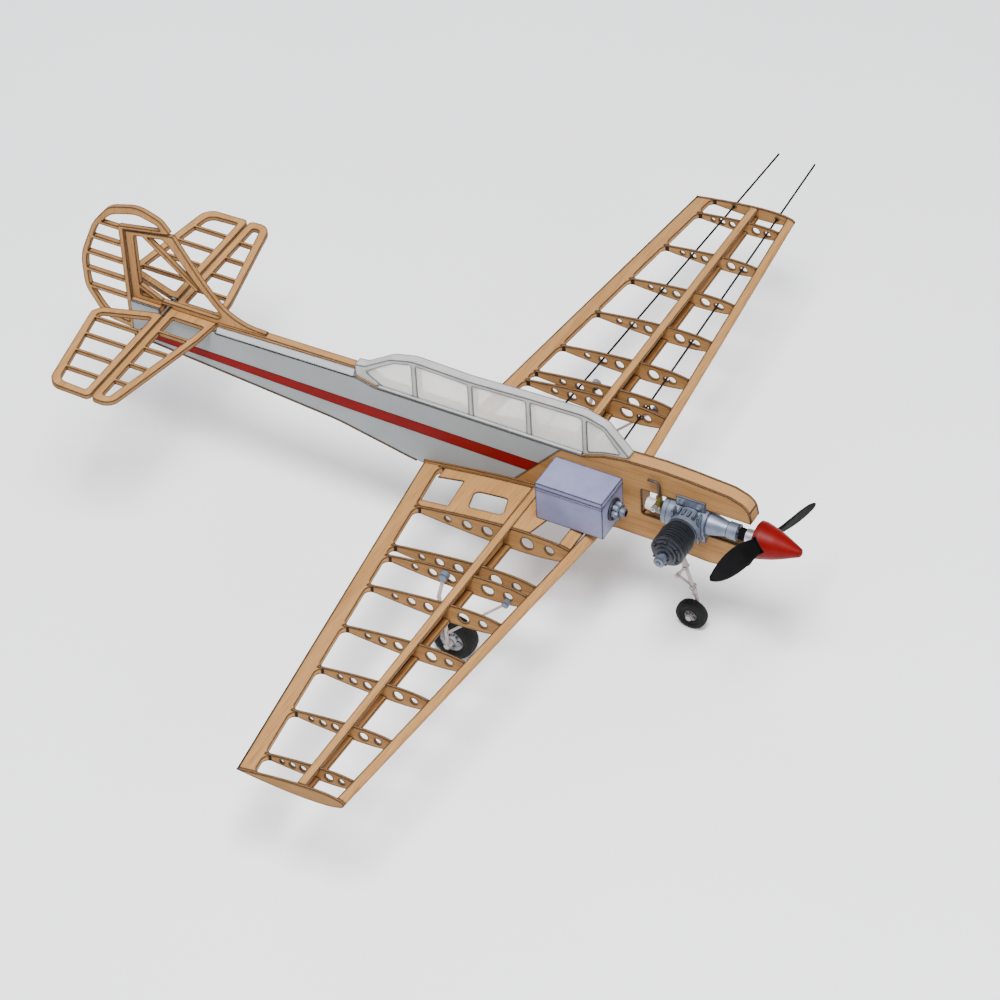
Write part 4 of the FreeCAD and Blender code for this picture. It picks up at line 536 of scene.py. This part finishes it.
for hand in ("right", "left"):
    tyre("main_tyre_" + hand, "main_wheel_" + hand, 5)
    wheel_hub("main_wheel_hub_" + hand, "main_wheel_" + hand, 6)
tyre("nose_tyre", "nose_wheel", 3)
wheel_hub("nose_wheel_hub", "nose_wheel", 5)

# ---------------------------------------------------------------- engine
OUTBOARD = Vector((0, -1, 0))
BORE_AT = Vector((centre_of("cylinder").x, 0, centre_of("cylinder").z))
LINER_RADIUS, BARREL_RADIUS = 11.1 * MM, 15.0 * MM
FINS = 8
FIN_EASE = 0.4 * MM


def outboard_span(label):
    """Where a round piece of the cylinder starts and ends outboard, and its radius."""
    low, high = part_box(label)
    return -high.y, -low.y, (high.x - low.x) / 2


def cylinder_fins():
    """Cooling fins round the barrel; the two nearest the crankcase are cut down."""
    foot, top, fin_radius = outboard_span("cylinder")
    profile = [(foot, LINER_RADIUS), (foot, BARREL_RADIUS)]
    pitch = (top - foot) / FINS
    for i in range(FINS):
        start = foot + pitch * (i + 0.30)
        reach = fin_radius * (0.86 + 0.14 * min(1.0, i / 2.0))
        profile += [(start, BARREL_RADIUS), (start + FIN_EASE / 4, reach - FIN_EASE),
                    (start + FIN_EASE, reach), (start + pitch * 0.36, reach),
                    (start + pitch * 0.42, reach - FIN_EASE),
                    (start + pitch * 0.46, BARREL_RADIUS)]
    profile += [(top, BARREL_RADIUS), (top, LINER_RADIUS)]
    shown("cylinder_fins", ring_piece("cylinder_fins", BORE_AT, OUTBOARD, profile, 96),
          "dark_case", "airframe", "dark_alloy", "cylinder")


HEAD_RINGS = ((0.0, 1.0), (0.18, 1.0), (0.22, 0.95), (0.22, 0.88), (0.40, 0.88), (0.44, 0.84),
              (0.44, 0.70), (0.66, 0.70), (0.70, 0.66), (0.70, 0.54), (0.90, 0.54), (0.94, 0.50),
              (0.94, 0.36), (0.80, 0.32))
HEAD_SCREWS = 6
SCREW_RADIUS, SCREW_EASED, SOCKET_RADIUS = 1.7 * MM, 1.4 * MM, 0.9 * MM


def finned_head():
    """Head with stepped rings and a circle of socket screws."""
    foot, top, radius = outboard_span("cylinder_head")
    thick = top - foot
    bm = bmesh.new()
    solid_lathe(bm, BORE_AT, OUTBOARD,
                [(foot + thick * along, radius * out) for along, out in HEAD_RINGS], 96)
    for i in range(HEAD_SCREWS):
        turn = math.radians(30) + 2 * math.pi * i / HEAD_SCREWS
        spot = BORE_AT + Vector((math.cos(turn), 0, math.sin(turn))) * (radius * 0.79)
        screw = ((0.20, SCREW_RADIUS), (0.60, SCREW_RADIUS), (0.64, SCREW_EASED),
                 (0.64, SOCKET_RADIUS), (0.52, SOCKET_RADIUS))
        solid_lathe(bm, spot, OUTBOARD, [(foot + thick * along, out) for along, out in screw], 20)
    shown("finned_head", finish_mesh(bm, "finned_head"), "dark_case", "airframe", "dark_alloy",
          "cylinder_head")


PLUG_RINGS = ((0.0, 0.50), (0.36, 0.50), (0.37, 0.74), (0.50, 0.78), (0.52, 0.92), (0.55, 1.0),
              (0.80, 1.0), (0.88, 0.97), (0.90, 0.84), (0.92, 0.40))
PLUG_TIP_EASE = 0.3 * MM
KNURL_DEEP = 0.25 * MM
KNURLED_POINTS = (6, 7, 8)


def knurl(step, spot):
    """Fine grip teeth round the knob."""
    return -KNURL_DEEP if spot in KNURLED_POINTS and step % 3 == 0 else 0.0


def plug_clip():
    """Glow plug with a knurled clip."""
    foot, top, radius = outboard_span("glow_plug")
    long = top - foot
    profile = [(foot + long * along, radius * out) for along, out in PLUG_RINGS]
    profile += [(top - PLUG_TIP_EASE, radius * 0.34), (top, radius * 0.26)]
    bm = bmesh.new()
    solid_lathe(bm, BORE_AT, OUTBOARD, profile, 72, knurl)
    shown("plug_clip", finish_mesh(bm, "plug_clip"), "case", "airframe", "engine_alloy",
          "glow_plug")


cylinder_fins()
finned_head()
plug_clip()

# ---------------------------------------------------------------- propeller drive and tank fitting
FORWARD = (1, 0, 0)


def forward_axis(label):
    """A point of a fore-and-aft piece's axis."""
    centre = centre_of(label)
    return Vector((0, centre.y, centre.z))


def from_face(face, points):
    """A profile in metres from points in millimetres ahead of a face and from the axis."""
    return [(face + along * MM, radius * MM) for along, radius in points]


WASHER_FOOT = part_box("drive_washer_and_nut")[0].x
# A black band round the drive washer's neck: painted shade in the recess between the front collar
# and the washer.
NECK_SHADE_PROFILE = ((0.4, 5.5), (0.6, 6.7), (3.0, 7.1), (5.4, 6.7), (8.0, 6.9), (8.2, 5.5))
neck_shade_band = ring_piece("drive_neck_shade", forward_axis("drive_washer_and_nut"), FORWARD,
                    from_face(WASHER_FOOT, NECK_SHADE_PROFILE), 48)
shown("drive_neck_shade", neck_shade_band, "black", "propeller_assembly", "prop_black")

FITTING_AT = forward_axis("tank_fitting")
PLATE_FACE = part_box("tank_body")[1].x
FLANGE = ((0.0, 4.6), (0.0, 12.2), (0.5, 12.9), (2.2, 12.9), (2.8, 12.4), (2.8, 10.8), (2.0, 10.4),
          (2.0, 4.6))
NUT = ((2.0, 3.0), (2.4, 9.4), (3.0, 10.0), (9.0, 10.0), (9.8, 9.2), (9.8, 5.8), (9.2, 5.0),
       (15.0, 4.9), (15.8, 4.3), (15.8, 3.0))
BORE_SHADE_SKIN = ((2.0, 2.5), (2.0, 3.0), (15.6, 3.0), (15.6, 2.5))
NUT_STEPS, LUGS, LUG_DEEP = 96, 6, 3.0 * MM


def lugs(step, spot):
    """Hollows that leave lugs round the nut's rim."""
    notch = 0.5 - 0.5 * math.cos(2 * math.pi * LUGS * step / NUT_STEPS)
    return -LUG_DEEP * notch ** 3 if 1 <= spot <= 4 else 0.0


flange = ring_piece("fitting_ring", FITTING_AT, FORWARD, from_face(PLATE_FACE, FLANGE), 72)
shown("fitting_ring", flange, "dark_case", "airframe", "dark_alloy", "tank_fitting")
nut = ring_piece("fitting_nut", FITTING_AT, FORWARD, from_face(PLATE_FACE, NUT), NUT_STEPS, lugs)
shown("fitting_nut", nut, "case", "airframe", "dark_alloy")
# A thin black skin inside the fitting nut's hole: painted shade in the bore.
skin = ring_piece("fitting_bore_shade", FITTING_AT, FORWARD, from_face(PLATE_FACE, BORE_SHADE_SKIN), 40)
shown("fitting_bore_shade", skin, "black", "airframe", "dark_alloy")

BEAD_HIGH, BEAD_PROUD = 3.4 * MM, 0.5 * MM


def tank_bead():
    """Raised bead where the lid meets the tank, on the three sides clear of the fuselage."""
    low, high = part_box("tank_lid")
    bm = bmesh.new()
    rows = []
    for proud, height in ((0.0, -BEAD_HIGH), (BEAD_PROUD, -BEAD_HIGH), (BEAD_PROUD, 0.0),
                          (0.0, 0.0)):
        corners = []
        for x, y, way_x, way_y in ((low.x, low.y, -1, -1), (high.x, low.y, 1, -1),
                                   (high.x, high.y, 1, 0), (low.x, high.y, -1, 0)):
            corners.append(bm.verts.new((x + way_x * proud, y + way_y * proud, low.z + height)))
        rows.append(corners)
    for j in range(4):
        bridge(bm, rows[j], rows[(j + 1) % 4])
    shown("tank_bead", finish_mesh(bm, "tank_bead"), "tank", "airframe", "tank_tint")


tank_bead()

# ---------------------------------------------------------------- floor
floor_paint = Paint("studio_floor", rough=0.7)
floor_paint.colour(floor_paint.ramp(floor_paint.noise(3, 2), [(0.3, (0.90, 0.905, 0.92)),
                                                              (0.7, (0.92, 0.925, 0.94))]))
bpy.ops.mesh.primitive_plane_add(size=14, location=(0, 0, 0))
floor = bpy.context.object
floor.name = "floor"
floor.data.materials.append(floor_paint.material)
